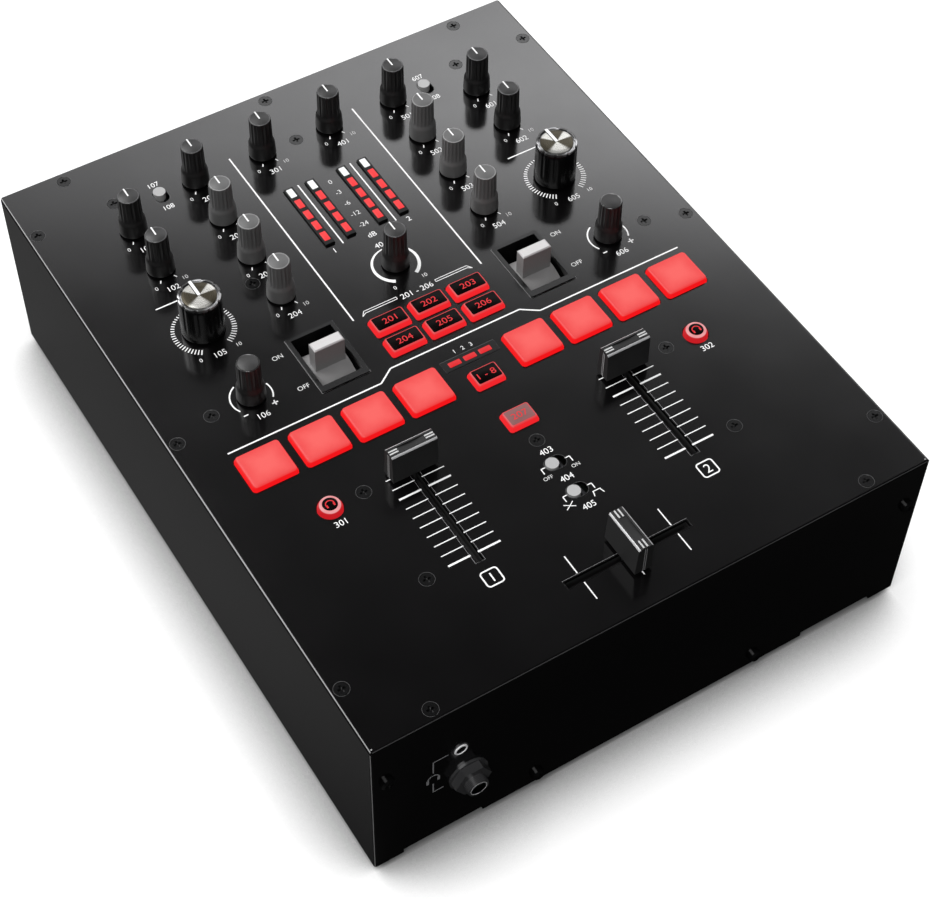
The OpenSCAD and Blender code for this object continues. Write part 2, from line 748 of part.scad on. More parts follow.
module rear_holes() {
    wall = 4 * tray_t;
    for (x = phono_columns_x(), z = [rear_low_z, rear_high_z])
        on_rear(x, z) cylinder(h = wall, r = phono_root_r() + screw_gap, center = true);
    for (x = [xlr_first_x, xlr_first_x - xlr_pitch])
        on_rear(x, xlr_z()) cylinder(h = wall, r = xlr_body_r() + screw_gap, center = true);
    for (z = [rear_low_z, rear_high_z])
        on_rear(booth_x, z) cylinder(h = wall, r = jack_bush_r + screw_gap, center = true);
    on_rear(usb_x, rear_low_z)
        translate([0, 0, -wall / 2]) block(usb_w + 2 * screw_gap, usb_h + 2 * screw_gap, wall);
    on_rear(mains_x, rear_low_z)
        translate([0, 0, -wall / 2])
            block(inlet_w + 2 * (inlet_wall + screw_gap), inlet_h + 2 * (inlet_wall + screw_gap), wall);
    on_rear(mains_x, rocker_z)
        translate([0, 0, -wall / 2])
            block(rocker_l + 2 * (run_gap + rocker_wall + screw_gap),
                  rocker_w + 2 * (run_gap + rocker_wall + screw_gap), wall);
    on_rear(ground_x, rear_low_z) cylinder(h = wall, r = screw_r + screw_gap, center = true);
}

module feet() {
    bevel = 1;
    color("#151515")
    for (sx = [-1, 1], sy = [-1, 1])
        translate([sx * (half_w - foot_inset_x), sy * (half_d - foot_inset_y), 0])
            difference() {
                rotate_extrude()
                    polygon([[0, 0], [foot_r - bevel, 0], [foot_r, bevel], [foot_r, feet_h], [0, feet_h]]);
                translate([0, 0, -cut]) cylinder(h = feet_h / 2 + cut, r = foot_r / 3);
            }
}

module cross_recess() {
    for (a = [0, 90])
        rotate([0, 0, a])
            translate([0, 0, -recess_depth]) block(recess_l, recess_w, recess_depth + cut);
}

module panel_screw() {
    difference() {
        union() {
            translate([0, 0, -screw_head_h])
                cylinder(h = screw_head_h, r1 = screw_r, r2 = screw_head_r);
            translate([0, 0, -screw_l]) cylinder(h = screw_l - screw_head_h / 2, r = screw_r);
        }
        cross_recess();
    }
}

module wall_screw() {
    dome_r = screw_head_r * 0.72;
    difference() {
        union() {
            cylinder(h = pan_head_h * 0.6, r = screw_head_r);
            translate([0, 0, pan_head_h * 0.6])
                cylinder(h = pan_head_h * 0.4, r1 = screw_head_r, r2 = dome_r);
            translate([0, 0, -screw_l]) cylinder(h = screw_l, r = screw_r);
        }
        translate([0, 0, pan_head_h]) cross_recess();
    }
}

module screws() {
    color("#101010") {
        for (at = concat(edge_screws, spacer_screws))
            translate([at[0], at[1], panel_z]) panel_screw();
        for (sx = [-1, 1]) {
            on_front(sx * (half_w - corner_screw_inset), front_screw_z) wall_screw();
            on_front(sx * low_screw_x * spread_x, low_screw_z) wall_screw();
        }
    }
}

// ---- boards ----

module control_board() {
    front = min(slope_y, min(spacer_y)) * spread_y - board_lip;
    rear = half_d - board_margin;
    w = 2 * (half_w - board_margin);
    color("#1d4a2c")
    difference() {
        union() {
            translate([-w / 2, front, board_z]) cube([w, rear - front, board_t]);
            for (at = spacer_screws)
                translate([at[0], at[1], board_z]) cylinder(h = under_z - board_z, r = spacer_r);
        }
        for (at = spacer_screws)
            translate([at[0], at[1], board_z - cut])
                cylinder(h = under_z - board_z + 2 * cut, r = screw_r + thread_gap);
        for (s = [-1, 1]) {
            translate([s * channel_x, channel_fader_y * spread_y, board_z - cut])
                block(fader_w + 2 * board_gap, fader_l + 2 * board_gap, board_t + 2 * cut);
            translate([s * channel_x, channel_fader_y * spread_y - fader_l / 2, board_z - cut])
                block(fader_w + 2 * board_gap, fader_l, board_t + 2 * cut);
            translate([s * channel_x, tub_mid_y, board_z - cut])
                block(2 * (tub_half_w + board_gap), bezel_open_d + 2 * (tub_wall + board_gap),
                      board_t + 2 * cut);
        }
    }
}

module main_board() {
    board_w = main_board_w * spread_x;
    board_l = main_board_d * spread_y;
    board_y = main_board_y * spread_y;
    corner = board_corner;
    z = floor_z + main_board_lift;
    // x, y, width, depth, height of each part on the board
    chips = [[-40, 20, 24, 24, 2.4], [10, 0, 16, 16, 2], [50, 30, 20, 12, 3], [-60, -50, 14, 20, 2],
             [30, -60, 12, 12, 9], [55, -60, 12, 12, 9], [-15, -40, 30, 8, 3]];
    color("#1d4a2c")
    difference() {
        union() {
            translate([0, board_y, z]) block(board_w, board_l, board_t);
            for (sx = [-1, 1], sy = [-1, 1])
                translate([sx * (board_w / 2 - corner), sy * (board_l / 2 - corner) + board_y, floor_z])
                    cylinder(h = main_board_lift, r = spacer_r);
        }
        for (sx = [-1, 1], sy = [-1, 1])
            translate([sx * (board_w / 2 - corner), sy * (board_l / 2 - corner) + board_y, floor_z - cut])
                cylinder(h = main_board_lift + board_t + 2 * cut, r = screw_r);
    }
    color("#2a2a2c")
    for (c = chips)
        translate([c[0] * spread_x, c[1] * spread_y, z + board_t]) block(c[2], c[3], c[4]);
}

module power_supply() {
    base = [supply_w, supply_d, supply_base_h];
    core = [supply_w - 2 * supply_shelf, supply_d - 2 * supply_lip, supply_core_h];
    inward = 4;
    can_x = base[0] / 2 - 1.1 * supply_can_r;
    color("#3a3a3e")
    translate([mains_x * spread_x - inward, half_d - supply_rear, floor_z]) {
        block(base[0], base[1], base[2]);
        translate([0, 0, base[2]]) block(core[0], core[1], core[2]);
        for (sx = [-1, 1])
            translate([sx * can_x, 0, base[2]]) cylinder(h = supply_can_h, r = supply_can_r);
    }
}

// ---- controls under the panel ----

module bushed_body() {
    difference() {
        union() {
            translate([0, 0, board_top]) block(pot_w, pot_d, pot_h);
            translate([0, 0, board_top]) cylinder(h = panel_z - board_top, r = bush_r);
        }
        translate([0, 0, board_top + shaft_floor])
            cylinder(h = panel_z, r = shaft_r + shaft_fit);
    }
}

module push_switch() {
    plunger_h = 1.5;
    translate([0, 0, board_top]) block(tact_w, tact_w, tact_h - plunger_h);
    translate([0, 0, board_top]) cylinder(h = tact_h, r = tact_w / 4);
}

module slide_body() {
    l = slide_travel + slide_stem_w + 2 * (run_gap + slide_wall);
    w = slide_stem_w + 2 * (run_gap + slide_wall);
    difference() {
        translate([0, 0, board_top]) block(l, w, slide_body_h);
        translate([0, 0, board_top + slide_wall])
            block(l - 2 * slide_wall, w - 2 * slide_wall, slide_body_h);
    }
}

module control_bodies() {
    color("#34363a") {
        for (k = all_knobs)
            translate([k[1], k[2], 0]) bushed_body();
        for (k = all_keys)
            translate([k[1], k[2], 0]) push_switch();
        for (k = slide_switches)
            translate([k[1], k[2], 0]) rotate([0, 0, k[3]]) slide_body();
    }
}

// Slides along Y, its top face against the panel's sheet
module fader_body() {
    channel_z = -fader_wall - slider_h - 2 * run_gap;
    difference() {
        translate([0, 0, -fader_h]) block(fader_w, fader_l, fader_h);
        translate([0, 0, channel_z])
            block(slider_w + 2 * run_gap, fader_travel + slider_l + 2 * run_gap, slider_h + 2 * run_gap);
        translate([0, 0, -fader_wall - cut]) block(slot_w, slot_l, fader_wall + 2 * cut);
    }
}

module fader_bodies() {
    color("#8f9296")
    for (k = faders)
        translate([k[1], k[2], under_z]) rotate([0, 0, k[3]]) fader_body();
}

module toggle_bezel() {
    rim_d = bezel_open_d + 2 * bezel_rim + bezel_front_rim;
    rim_corner = 0.8;
    difference() {
        union() {
            translate([0, -bezel_front_rim / 2, 0])
                linear_extrude(bezel_rise) round_rect(bezel_open_w + 2 * bezel_rim, rim_d, rim_corner);
            translate([0, 0, -tub_depth])
                block(2 * tub_half_w, bezel_open_d + 2 * tub_wall, tub_depth + bezel_rise);
        }
        translate([0, 0, -tub_depth + tub_wall])
            block(bezel_open_w, bezel_open_d, tub_depth + cut);
        translate([0, -bezel_shift, -pivot_depth])
            rotate([0, 90, 0])
                cylinder(h = 2 * tub_half_w + cut, r = paddle_pin_r + paddle_pin_fit, center = true);
    }
}

module toggle_bezels() {
    color("#0d0d0f")
    for (s = [-1, 1])
        translate([s * channel_x, tub_mid_y, panel_z]) toggle_bezel();
}

module led_indicators() {
    color("#4a4c50")
    for (x = [-meter_outer_x, -meter_inner_x, meter_inner_x, meter_outer_x])
        translate([x * spread_x, meter_y * spread_y, board_top])
            block(meter_w, meter_l, panel_z + meter_rise - board_top);
    color("#16161a")
    difference() {
        translate([0, window_y * spread_y, under_z]) block(window_w, window_d, sheet_t);
        for (i = [-1, 0, 1])
            translate([i * step_led_pitch, window_y * spread_y, under_z - cut])
                block(step_led_w, step_led_d, sheet_t + 2 * cut);
    }
    color("#e04848")
    for (i = [-1, 0, 1])
        translate([i * step_led_pitch, window_y * spread_y, board_top])
            block(step_led_w, step_led_d, panel_z - board_top);
}

// ---- sockets ----

// A 6.35 mm socket: body behind the wall, bushing, washer and nut in front of it
module large_socket(walls) {
    back_t = 2;
    color("#1a1a1c")
    difference() {
        union() {
            translate([0, 0, -walls - jack_body_l]) block(jack_body_w, jack_body_w, jack_body_l);
            translate([0, 0, -walls - socket_overlap])
                cylinder(h = walls + socket_overlap + jack_reach, r = jack_bush_r);
        }
        translate([0, 0, back_t - walls - jack_body_l])
            cylinder(h = walls + jack_body_l + jack_reach + cut, r = jack_bore_r);
    }
    color("#2c2c30") {
        difference() {
            cylinder(h = washer_t, r = jack_washer_r);
            translate([0, 0, -cut]) cylinder(h = washer_t + 2 * cut, r = jack_bush_r);
        }
        difference() {
            translate([0, 0, washer_t]) cylinder(h = jack_nut_h, r = jack_nut_r, $fn = 6);
            cylinder(h = washer_t + jack_nut_h + cut, r = jack_bush_r);
        }
    }
}

module small_socket(walls) {
    body_w = 7;
    back_t = 1;
    ring_rise = 0.3;
    color("#b8b8bc")
    difference() {
        union() {
            translate([0, 0, -walls - mini_body_l]) block(body_w, body_w, mini_body_l);
            translate([0, 0, -walls - socket_overlap])
                cylinder(h = walls + socket_overlap + ring_rise, r = mini_ring_r);
        }
        translate([0, 0, back_t - walls - mini_body_l])
            cylinder(h = walls + mini_body_l + cut, r = mini_bore_r);
    }
}

module headphone_jacks() {
    walls = sheet_t + tray_t;
    on_front(-phone_x * spread_x, phone_z) large_socket(walls);
    on_front(-mini_x * spread_x, mini_z) small_socket(walls);
}

function phono_columns_x() = [for (i = [0:phono_columns - 1]) phono_first_x - i * phono_pitch];
function xlr_z() = (rear_low_z + rear_high_z) / 2 + 2;
function xlr_body_r() = xlr_r + 1.6;

module phono_socket() {
    body_w = 10;
    body_l = 8;
    back_t = 2;
    collar_t = 1.6;
    color("#c9c9cc")
    difference() {
        union() {
            translate([0, 0, -tray_t - body_l]) block(body_w, body_w, body_l);
            translate([0, 0, -tray_t - socket_overlap])
                cylinder(h = tray_t + socket_overlap + collar_t, r = phono_root_r());
            cylinder(h = jack_reach, r = phono_r);
        }
        translate([0, 0, back_t - tray_t - body_l])
            cylinder(h = tray_t + body_l + jack_reach, r = phono_bore_r);
    }
    color("#f0f0f0")
    difference() {
        cylinder(h = collar_t, r = phono_collar_r);
        translate([0, 0, -cut]) cylinder(h = collar_t + 2 * cut, r = phono_root_r());
    }
}

function phono_root_r() = phono_r + 0.3;

module xlr_socket() {
    flange_t = 1.6;
    flange_corner = 2;
    screw_inset = 3.3;
    back_t = 3;
    pin_r = 1.2;
    pin_short = 2;
    // x, y of each pin
    pins = [[-3.9, 2.1], [3.9, 2.1], [0, -3.8]];
    color("#9a9ca0")
    difference() {
        union() {
            linear_extrude(flange_t) round_rect(xlr_flange_w, xlr_flange_h, flange_corner);
            translate([0, 0, -xlr_depth - back_t])
                cylinder(h = xlr_depth + back_t + flange_t, r = xlr_body_r());
        }
        translate([0, 0, -xlr_depth]) cylinder(h = xlr_depth + flange_t + cut, r = xlr_r);
        for (s = [-1, 1])
            translate([s * (xlr_flange_w / 2 - screw_inset), s * (xlr_flange_h / 2 - screw_inset), -cut])
                cylinder(h = flange_t + 2 * cut, r = screw_r);
    }
    color("#d8c890")
    for (p = pins)
        translate([p[0], p[1], -xlr_depth]) cylinder(h = xlr_depth - pin_short, r = pin_r);
}

module usb_socket() {
    shell = 0.8;
    depth = 12;
    back_t = 4;
    reach = 0.5;
    tongue = [5.6, 3.2, depth - 1];
    color("#c9c9cc")
    difference() {
        translate([0, 0, -depth - back_t]) block(usb_w, usb_h, depth + back_t + reach);
        translate([0, 0, -depth]) block(usb_w - 2 * shell, usb_h - 2 * shell, depth + cut);
    }
    color("#e8e8e8")
    translate([0, 0, -depth]) block(tongue[0], tongue[1], tongue[2]);
}

module mains_inlet() {
    flange_t = 2;
    flange_corner = 3;
    flange_over = 2 * (inlet_wall + inlet_flange);
    back_t = 3;
    bevel = 5;
    // width, height and length of a blade, then x, y of each
    blade = [2, 4, 12];
    blades = [[-7, 0], [0, 4], [7, 0]];
    color("#161616")
    difference() {
        union() {
            linear_extrude(flange_t)
                round_rect(inlet_w + flange_over, inlet_h + flange_over, flange_corner);
            translate([0, 0, -inlet_depth - back_t])
                block(inlet_w + 2 * inlet_wall, inlet_h + 2 * inlet_wall,
                      inlet_depth + back_t + flange_t);
        }
        translate([0, 0, -inlet_depth])
            linear_extrude(inlet_depth + flange_t + cut)
                polygon([[-inlet_w / 2, -inlet_h / 2], [inlet_w / 2, -inlet_h / 2],
                         [inlet_w / 2, inlet_h / 2 - bevel], [inlet_w / 2 - bevel, inlet_h / 2],
                         [bevel - inlet_w / 2, inlet_h / 2], [-inlet_w / 2, inlet_h / 2 - bevel]]);
    }
    color("#c9c9cc")
    for (at = blades)
        translate([at[0], at[1], -inlet_depth]) block(blade[0], blade[1], blade[2]);
}

module rocker_bezel() {
    w = rocker_l + 2 * (run_gap + rocker_wall);
    h = rocker_w + 2 * (run_gap + rocker_wall);
    flange_t = 1.5;
    flange_over = 3;
    color("#161616")
    difference() {
        union() {
            linear_extrude(flange_t) round_rect(w + flange_over, h + flange_over, 1);
            translate([0, 0, -rocker_cavity - rocker_wall])
                block(w, h, rocker_cavity + rocker_wall + flange_t);
        }
        translate([0, 0, -rocker_cavity])
            block(rocker_l + 2 * run_gap, rocker_w + 2 * run_gap, rocker_cavity + flange_t + cut);
        translate([0, 0, rocker_pin_z])
            rotate([90, 0, 0]) cylinder(h = h + cut, r = rocker_r + shaft_fit, center = true);
    }
}

module ground_post() {
    behind = 4;
    seat_t = 1;
    thread_end = 1.5;
    color("#c9b060") {
        translate([0, 0, -tray_t - behind])
            cylinder(h = tray_t + behind + jack_reach, r = screw_r);
        difference() {
            translate([0, 0, seat_t])
                cylinder(h = jack_reach - seat_t - thread_end, r = ground_r);
            cylinder(h = jack_reach, r = screw_r);
        }
        difference() {
            cylinder(h = seat_t, r = ground_r);
            translate([0, 0, -cut]) cylinder(h = seat_t + 2 * cut, r = screw_r);
        }
    }
}

module rear_connectors() {
    for (x = phono_columns_x(), z = [rear_low_z, rear_high_z])
        on_rear(x, z) phono_socket();
    for (x = [xlr_first_x, xlr_first_x - xlr_pitch])
        on_rear(x, xlr_z()) xlr_socket();
    for (z = [rear_low_z, rear_high_z])
        on_rear(booth_x, z) large_socket(tray_t);
    on_rear(usb_x, rear_low_z) usb_socket();
    on_rear(mains_x, rear_low_z) mains_inlet();
    on_rear(mains_x, rocker_z) rocker_bezel();
    on_rear(ground_x, rear_low_z) ground_post();
}

// ---- moving pieces ----

// Shaft from a knob down into its bush
module knob_shaft() {
    floor = board_top + shaft_floor + shaft_end_gap;
    in_knob = 2;
    translate([0, 0, floor]) cylinder(h = panel_z + knob_gap + in_knob - floor, r = shaft_r);
}

module pointer_groove(r, top) {
    translate([-pointer_w / 2, 0, top - pointer_depth])
        cube([pointer_w, r + cut, pointer_depth + cut]);
}

module grip_outline(r) {
    difference() {
        circle(r);
        for (i = [0:flute_count - 1])
            rotate([0, 0, (i + 0.5) * 360 / flute_count])
                translate([r + flute_r - flute_depth, 0]) circle(flute_r, $fn = 24);
    }
}

module small_knob(pointer = true) {
    grip_z = skirt_h + flare_h;
    color("#1c1c1e") {
        translate([0, 0, panel_z])
            difference() {
                union() {
                    rotate_extrude()
                        polygon([[0, knob_gap], [skirt_r, knob_gap], [skirt_top_r, skirt_h],
                                 [grip_r, grip_z], [0, grip_z]]);
                    translate([0, 0, grip_z])
                        intersection() {
                            linear_extrude(knob_top - grip_z) grip_outline(grip_r);
                            rotate_extrude()
                                polygon([[0, 0], [grip_r + cut, 0],
                                         [grip_r + cut, knob_top - grip_z - knob_chamfer - cut],
                                         [grip_r - knob_chamfer, knob_top - grip_z],
                                         [0, knob_top - grip_z]]);
                        }
                }
                if (pointer) pointer_groove(grip_r, knob_top);
            }
        knob_shaft();
    }
}

module filter_knob() {
    ring_h = 1.2;
    groove_w = 0.6;
    scallop_r = 1.5;
    color("#101012") {
        translate([0, 0, panel_z])
            difference() {
                union() {
                    translate([0, 0, knob_gap])
                        cylinder(h = knob_top - ring_h - knob_gap, r1 = filter_r, r2 = filter_ring_r);
                    translate([0, 0, knob_top - ring_h])
                        linear_extrude(ring_h)
                            difference() {
                                circle(filter_ring_r);
                                for (i = [0:scallop_count - 1])
                                    rotate([0, 0, (i + 0.5) * 360 / scallop_count])
                                        translate([filter_ring_r + scallop_r - scallop_depth, 0])
                                            circle(scallop_r, $fn = 24);
                            }
                }
                translate([0, 0, knob_top - ring_h / 2])
                    difference() {
                        cylinder(h = ring_h, r = filter_cap_r + groove_w);
                        translate([0, 0, -cut]) cylinder(h = ring_h + 2 * cut, r = filter_cap_r);
                    }
                pointer_groove(filter_ring_r, knob_top);
            }
        knob_shaft();
    }
}

// Column, flange and stem that carry a button's cap through the panel
module key_stem() {
    foot = board_top + tact_h + key_travel + over_travel;
    translate([0, 0, foot]) cylinder(h = under_z - foot, r = tact_w / 4);
}

module rect_key(w, d, rise, draft, r) {
    flange_z = under_z - run_gap - key_flange_t;
    lip = key_gap + key_lip;
    translate([0, 0, panel_z]) drafted_block(w, d, rise, draft, r);
    translate([0, 0, flange_z]) linear_extrude(panel_z - flange_z) round_rect(w, d, r);
    translate([0, 0, flange_z])
        linear_extrude(key_flange_t) round_rect(w + 2 * lip, d + 2 * lip, r);
    key_stem();
}

module pad() {
    color("#ff5a5a") rect_key(pad_w, pad_d, pad_rise, pad_draft, pad_corner_r);
}

module fx_button() {
    color("#c83a3a") rect_key(fx_key_w, fx_key_d, key_rise, key_draft, key_corner_r);
}

module mode_button() {
    color("#c83a3a") rect_key(mode_key_w, mode_key_d, key_rise, key_draft, key_corner_r);
}

module cue_button() {
    flange_z = under_z - run_gap - key_flange_t;
    color("#e08a8a") {
        translate([0, 0, panel_z]) cylinder(h = key_rise, r1 = cue_r, r2 = cue_top_r);
        translate([0, 0, flange_z]) cylinder(h = panel_z - flange_z, r = cue_r);
        translate([0, 0, flange_z]) cylinder(h = key_flange_t, r = cue_r + key_gap + key_lip);
        key_stem();
    }
}

// Cap at its place along local X, its stem in the switch's body
module slide_cap(place) {
    stem_foot = board_top + slide_wall + run_gap;
    cap_overlap = 1;
    color("#bdbdbd")
    translate([place * slide_travel / 2, 0, 0]) {
        translate([0, 0, under_z - cap_overlap])
            cylinder(h = sheet_t + cap_overlap + slide_rise, r = slide_cap_r);
        translate([0, 0, stem_foot]) block(slide_stem_w, slide_stem_w, under_z - stem_foot);
    }
}

// Travels along local Y from the middle of its slot, Z up from the panel
module fader_cap(foot, crown) {
    h = cap_top - cap_gap;
    dish_r = 40;
    line_w = 0.8;
    difference() {
        translate([0, 0, cap_gap])
            rotate([90, 0, 90])
                linear_extrude(cap_w, center = true)
                    polygon([[-foot / 2, 0], [foot / 2, 0], [crown / 2, h - cap_chamfer],
                             [crown / 2 - cap_chamfer, h], [cap_chamfer - crown / 2, h],
                             [-crown / 2, h - cap_chamfer]]);
        translate([0, 0, cap_top + dish_r - dish_depth])
            rotate([90, 0, 0]) cylinder(h = foot + cut, r = dish_r, center = true, $fn = 180);
        for (sx = [-1, 1])
            translate([sx * cap_w / 2, 0, cap_gap - cut])
                block(line_w, line_w, cap_top);
    }
}

module fader_slider() {
    slider_top = -sheet_t - fader_wall - run_gap;
    in_cap = 2;
    translate([0, 0, slider_top - slider_h]) block(slider_w, slider_l, slider_h);
    translate([0, 0, slider_top - cut]) block(lever_t, lever_l, cap_gap + in_cap - slider_top + cut);
}

module fader(k, extra) {
    color("#1a1a1c")
    translate([k[1], k[2], panel_z])
        rotate([0, 0, k[3]])
            translate([0, k[4] * fader_travel / 2, 0]) {
                fader_cap(cap_foot + extra, cap_crown + extra);
                fader_slider();
            }
}

module fx_paddle() {
    web = 3;
    hub_wall = 1.8;
    shield_t = 1.6;
    shield_w = 2 * bezel_half_w - 2.2;
    pin_l = 2 * (bezel_half_w + tub_wall * 0.8);
    edge = blade_chamfer * sqrt(2);
    color("#6a6a6c") {
        rotate([0, 90, 0])
            linear_extrude(shield_w, center = true)
                difference() {
                    circle(shield_r);
                    circle(shield_r - shield_t);
                    for (s = [-1, 1])
                        rotate([0, 0, -s * shield_half_angle])
                            translate([0, s * shield_r])
                                square([4 * shield_r, 2 * shield_r], center = true);
                    translate([shield_r, 0]) square([2 * shield_r, 4 * shield_r], center = true);
                }
        rotate([0, 90, 0]) cylinder(h = shield_w - 2, r = paddle_pin_r + hub_wall, center = true);
        rotate([0, 90, 0]) cylinder(h = pin_l, r = paddle_pin_r, center = true);
        translate([0, 0, (shield_r - shield_t) / 2])
            cube([web, 3 * web, shield_r - shield_t + 1], center = true);
        difference() {
            translate([0, 0, shield_r - shield_t / 2])
                block(blade_w, blade_t, pivot_depth + blade_top - shield_r + shield_t / 2);
            for (s = [-1, 1]) {
                translate([0, s * blade_t / 2, pivot_depth + blade_top])
                    rotate([45, 0, 0])
                        cube([2 * blade_w, edge, edge], center = true);
                translate([s * blade_w / 2, 0, pivot_depth + blade_top])
                    rotate([0, 45, 0])
                        cube([edge, 2 * blade_w, edge], center = true);
            }
        }
    }
}

// Rocks about an upright pin, drawn switched on
module power_rocker() {
    h = 5;
    dip = 1.6;
    under = 2;
    end = rocker_l / 2 - 0.6;
    color("#242426")
    on_rear(mains_x, rocker_z)
        translate([0, 0, rocker_pin_z])
            rotate([0, rocker_swing / 2, 0]) {
                rotate([90, 0, 0])
                    linear_extrude(rocker_w, center = true)
                        polygon([[-end, -under], [end, -under], [end, h], [0, h - dip], [-end, h]]);
                rotate([90, 0, 0])
                    cylinder(h = rocker_w + 2 * (run_gap + rocker_wall * 0.8), r = rocker_r, center = true);
            }
}

// ---- nodes ----

top_cover();
base_tray();
feet();
screws();
control_board();
main_board();
power_supply();
control_bodies();
fader_bodies();
toggle_bezels();
led_indicators();
headphone_jacks();
rear_connectors();
power_rocker();
for (k = small_knobs)
    translate([k[1], k[2], 0]) small_knob();
for (k = loop_knobs)
    translate([k[1], k[2], 0]) small_knob(pointer = false);
for (k = filter_knobs)
    translate([k[1], k[2], 0]) filter_knob();
for (k = pads)
    translate([k[1], k[2], 0]) pad();
for (k = fx_keys)
    translate([k[1], k[2], 0]) fx_button();
for (k = mode_keys)
    translate([k[1], k[2], 0]) mode_button();
for (k = cue_keys)
    translate([k[1], k[2], 0]) cue_button();
for (k = slide_switches)
    translate([k[1], k[2], 0]) rotate([0, 0, k[3]]) slide_cap(k[4]);
for (k = faders)
    fader(k, k[0] == "crossfader" ? cross_cap_extra : 0);
for (s = [1, 2])
    translate([side(s) * channel_x, paddle_mid_y, pivot_z]) fx_paddle();
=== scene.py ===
# %% [markdown]
# # A two-channel DJ mixer, dressed for the camera
# The CAD model already fixes every size and every joint. This lesson adds what CAD
# leaves out: finer surfaces, materials, printed marks, a stage and studio light.
# Nothing in the frame is moved; new pieces are laid on it, and each one rides on
# the body that carries it.

# %% Load the frame and note its sizes
import math
import bpy
import numpy as np
from mathutils import Matrix, Vector


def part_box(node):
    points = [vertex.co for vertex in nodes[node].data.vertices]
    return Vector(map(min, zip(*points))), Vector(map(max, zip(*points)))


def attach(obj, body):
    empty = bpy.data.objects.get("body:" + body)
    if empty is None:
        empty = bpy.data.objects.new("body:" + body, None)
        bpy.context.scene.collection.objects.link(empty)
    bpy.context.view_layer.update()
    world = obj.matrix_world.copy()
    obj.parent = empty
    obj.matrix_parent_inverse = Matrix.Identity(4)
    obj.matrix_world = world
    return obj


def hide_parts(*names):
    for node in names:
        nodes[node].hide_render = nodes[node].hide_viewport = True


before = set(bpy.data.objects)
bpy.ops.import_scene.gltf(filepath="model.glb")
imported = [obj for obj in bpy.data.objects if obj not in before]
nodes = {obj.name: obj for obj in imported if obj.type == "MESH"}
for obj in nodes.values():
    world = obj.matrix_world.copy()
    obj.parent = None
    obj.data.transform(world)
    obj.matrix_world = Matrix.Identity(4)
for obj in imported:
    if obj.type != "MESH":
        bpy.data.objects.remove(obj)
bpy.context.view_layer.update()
MM = 0.001
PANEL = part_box("top_cover")[1].z / MM
print(len(nodes), "CAD nodes; the panel is", round(PANEL, 2), "mm above the table")

# %% [markdown]
# Sizes in this lesson are millimetres, because the object is thought of that way.
# A helper reads where a CAD node stands, so that a finer piece sits where its
# plain CAD twin does, even after a size in the CAD source has changed.

# %% Where a node stands
def spot(node):
    """Middle of a node's box seen from above, in millimetres."""
    low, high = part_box(node)
    return (low.x + high.x) / 2 / MM, (low.y + high.y) / 2 / MM


print("gain knobs stand at", [tuple(round(v, 2) for v in spot(f"gain_knob_{i}")) for i in (1, 2)])

# %% [markdown]
# Nearly every shape here is a loft: closed rings of points, one above the other,
# joined by quads and shut at both ends. A knob is a loft of circles, a push button
# a loft of rounded rectangles, and a printed line a loft of a tiny rectangle along
# a path. One function that joins rings therefore makes most of the mixer.

# %% Rings to a closed surface
def loft(rings):
    """Joins rings (R x N x 3) by quads. Point j of ring i meets point j + 1 of ring
    i and the same two of ring i + 1; both end rings are shut by one polygon each."""
    rings = np.asarray(rings, float)
    count, around = rings.shape[:2]
    i, j = np.meshgrid(np.arange(count - 1), np.arange(around), indexing="ij")
    k = (j + 1) % around
    quads = np.stack([i * around + j, i * around + k, (i + 1) * around + k, (i + 1) * around + j], -1)
    faces = quads.reshape(-1, 4).tolist()
    faces.append(list(range(around))[::-1])
    faces.append(list(range((count - 1) * around, count * around)))
    return rings.reshape(-1, 3), faces


def circle_rings(profile, around, ripple=None):
    """Profile rows are (radius, height). A ring is x = r cos t, y = r sin t, where r
    is the profile's radius, plus ripple(t, height) when the piece is fluted."""
    profile = np.asarray(profile, float)
    t = np.linspace(0, 2 * np.pi, around, endpoint=False)
    r = profile[:, :1] + np.zeros(around)
    if ripple is not None:
        r = r + ripple(t[None, :], profile[:, 1:])
    return np.stack([r * np.cos(t), r * np.sin(t), profile[:, 1:] + np.zeros(around)], -1)


def box_rings(levels, arc=6):
    """Levels are (width, depth, corner radius, height). A ring runs round a rectangle
    whose corners are quarter circles of arc steps each, so all rings match."""
    t = np.concatenate([np.linspace(q, q + 0.5, arc + 1) * np.pi for q in (-0.5, 0, 0.5, 1)])
    sx = np.repeat([1, 1, -1, -1], arc + 1)
    sy = np.repeat([-1, 1, 1, -1], arc + 1)
    w, d, r, z = np.asarray(levels, float).T[:, :, None]
    x = sx * (w / 2 - r) + r * np.cos(t)
    y = sy * (d / 2 - r) + r * np.sin(t)
    return np.stack([x, y, z + 0 * t], -1)


print("a loft of 3 rings of 8 has", len(loft(circle_rings([(1, 0), (1, 1), (0.5, 2)], 8))[1]), "faces")

# %% [markdown]
# A printed line or a pointer follows a path. Its section is a thin rectangle, and
# at each point of the path the rectangle stands square to the path's direction.
# Widths may change along the way, which gives the tapered arc round a dial.

# %% Strips along a path
def directions(path):
    """The path's unit direction at each point: the mean of the two steps that meet."""
    step = np.gradient(path, axis=0)
    return step / np.linalg.norm(step, axis=1, keepdims=True)


def sweep(path, side, out):
    """Joins rectangles whose corners are path + side and path - side, and both + out."""
    return loft(np.stack([path + side, path + side + out, path - side + out, path - side], 1))


def strip(path, width, thick=0.03):
    """A flat strip: side is width / 2 square to the direction, out is thick upward."""
    path = np.asarray(path, float)
    step = directions(path)
    half = (np.zeros(len(path)) + width)[:, None] / 2
    return sweep(path, np.stack([step[:, 1], -step[:, 0], 0 * step[:, 0]], 1) * half, np.array([0, 0, thick]))


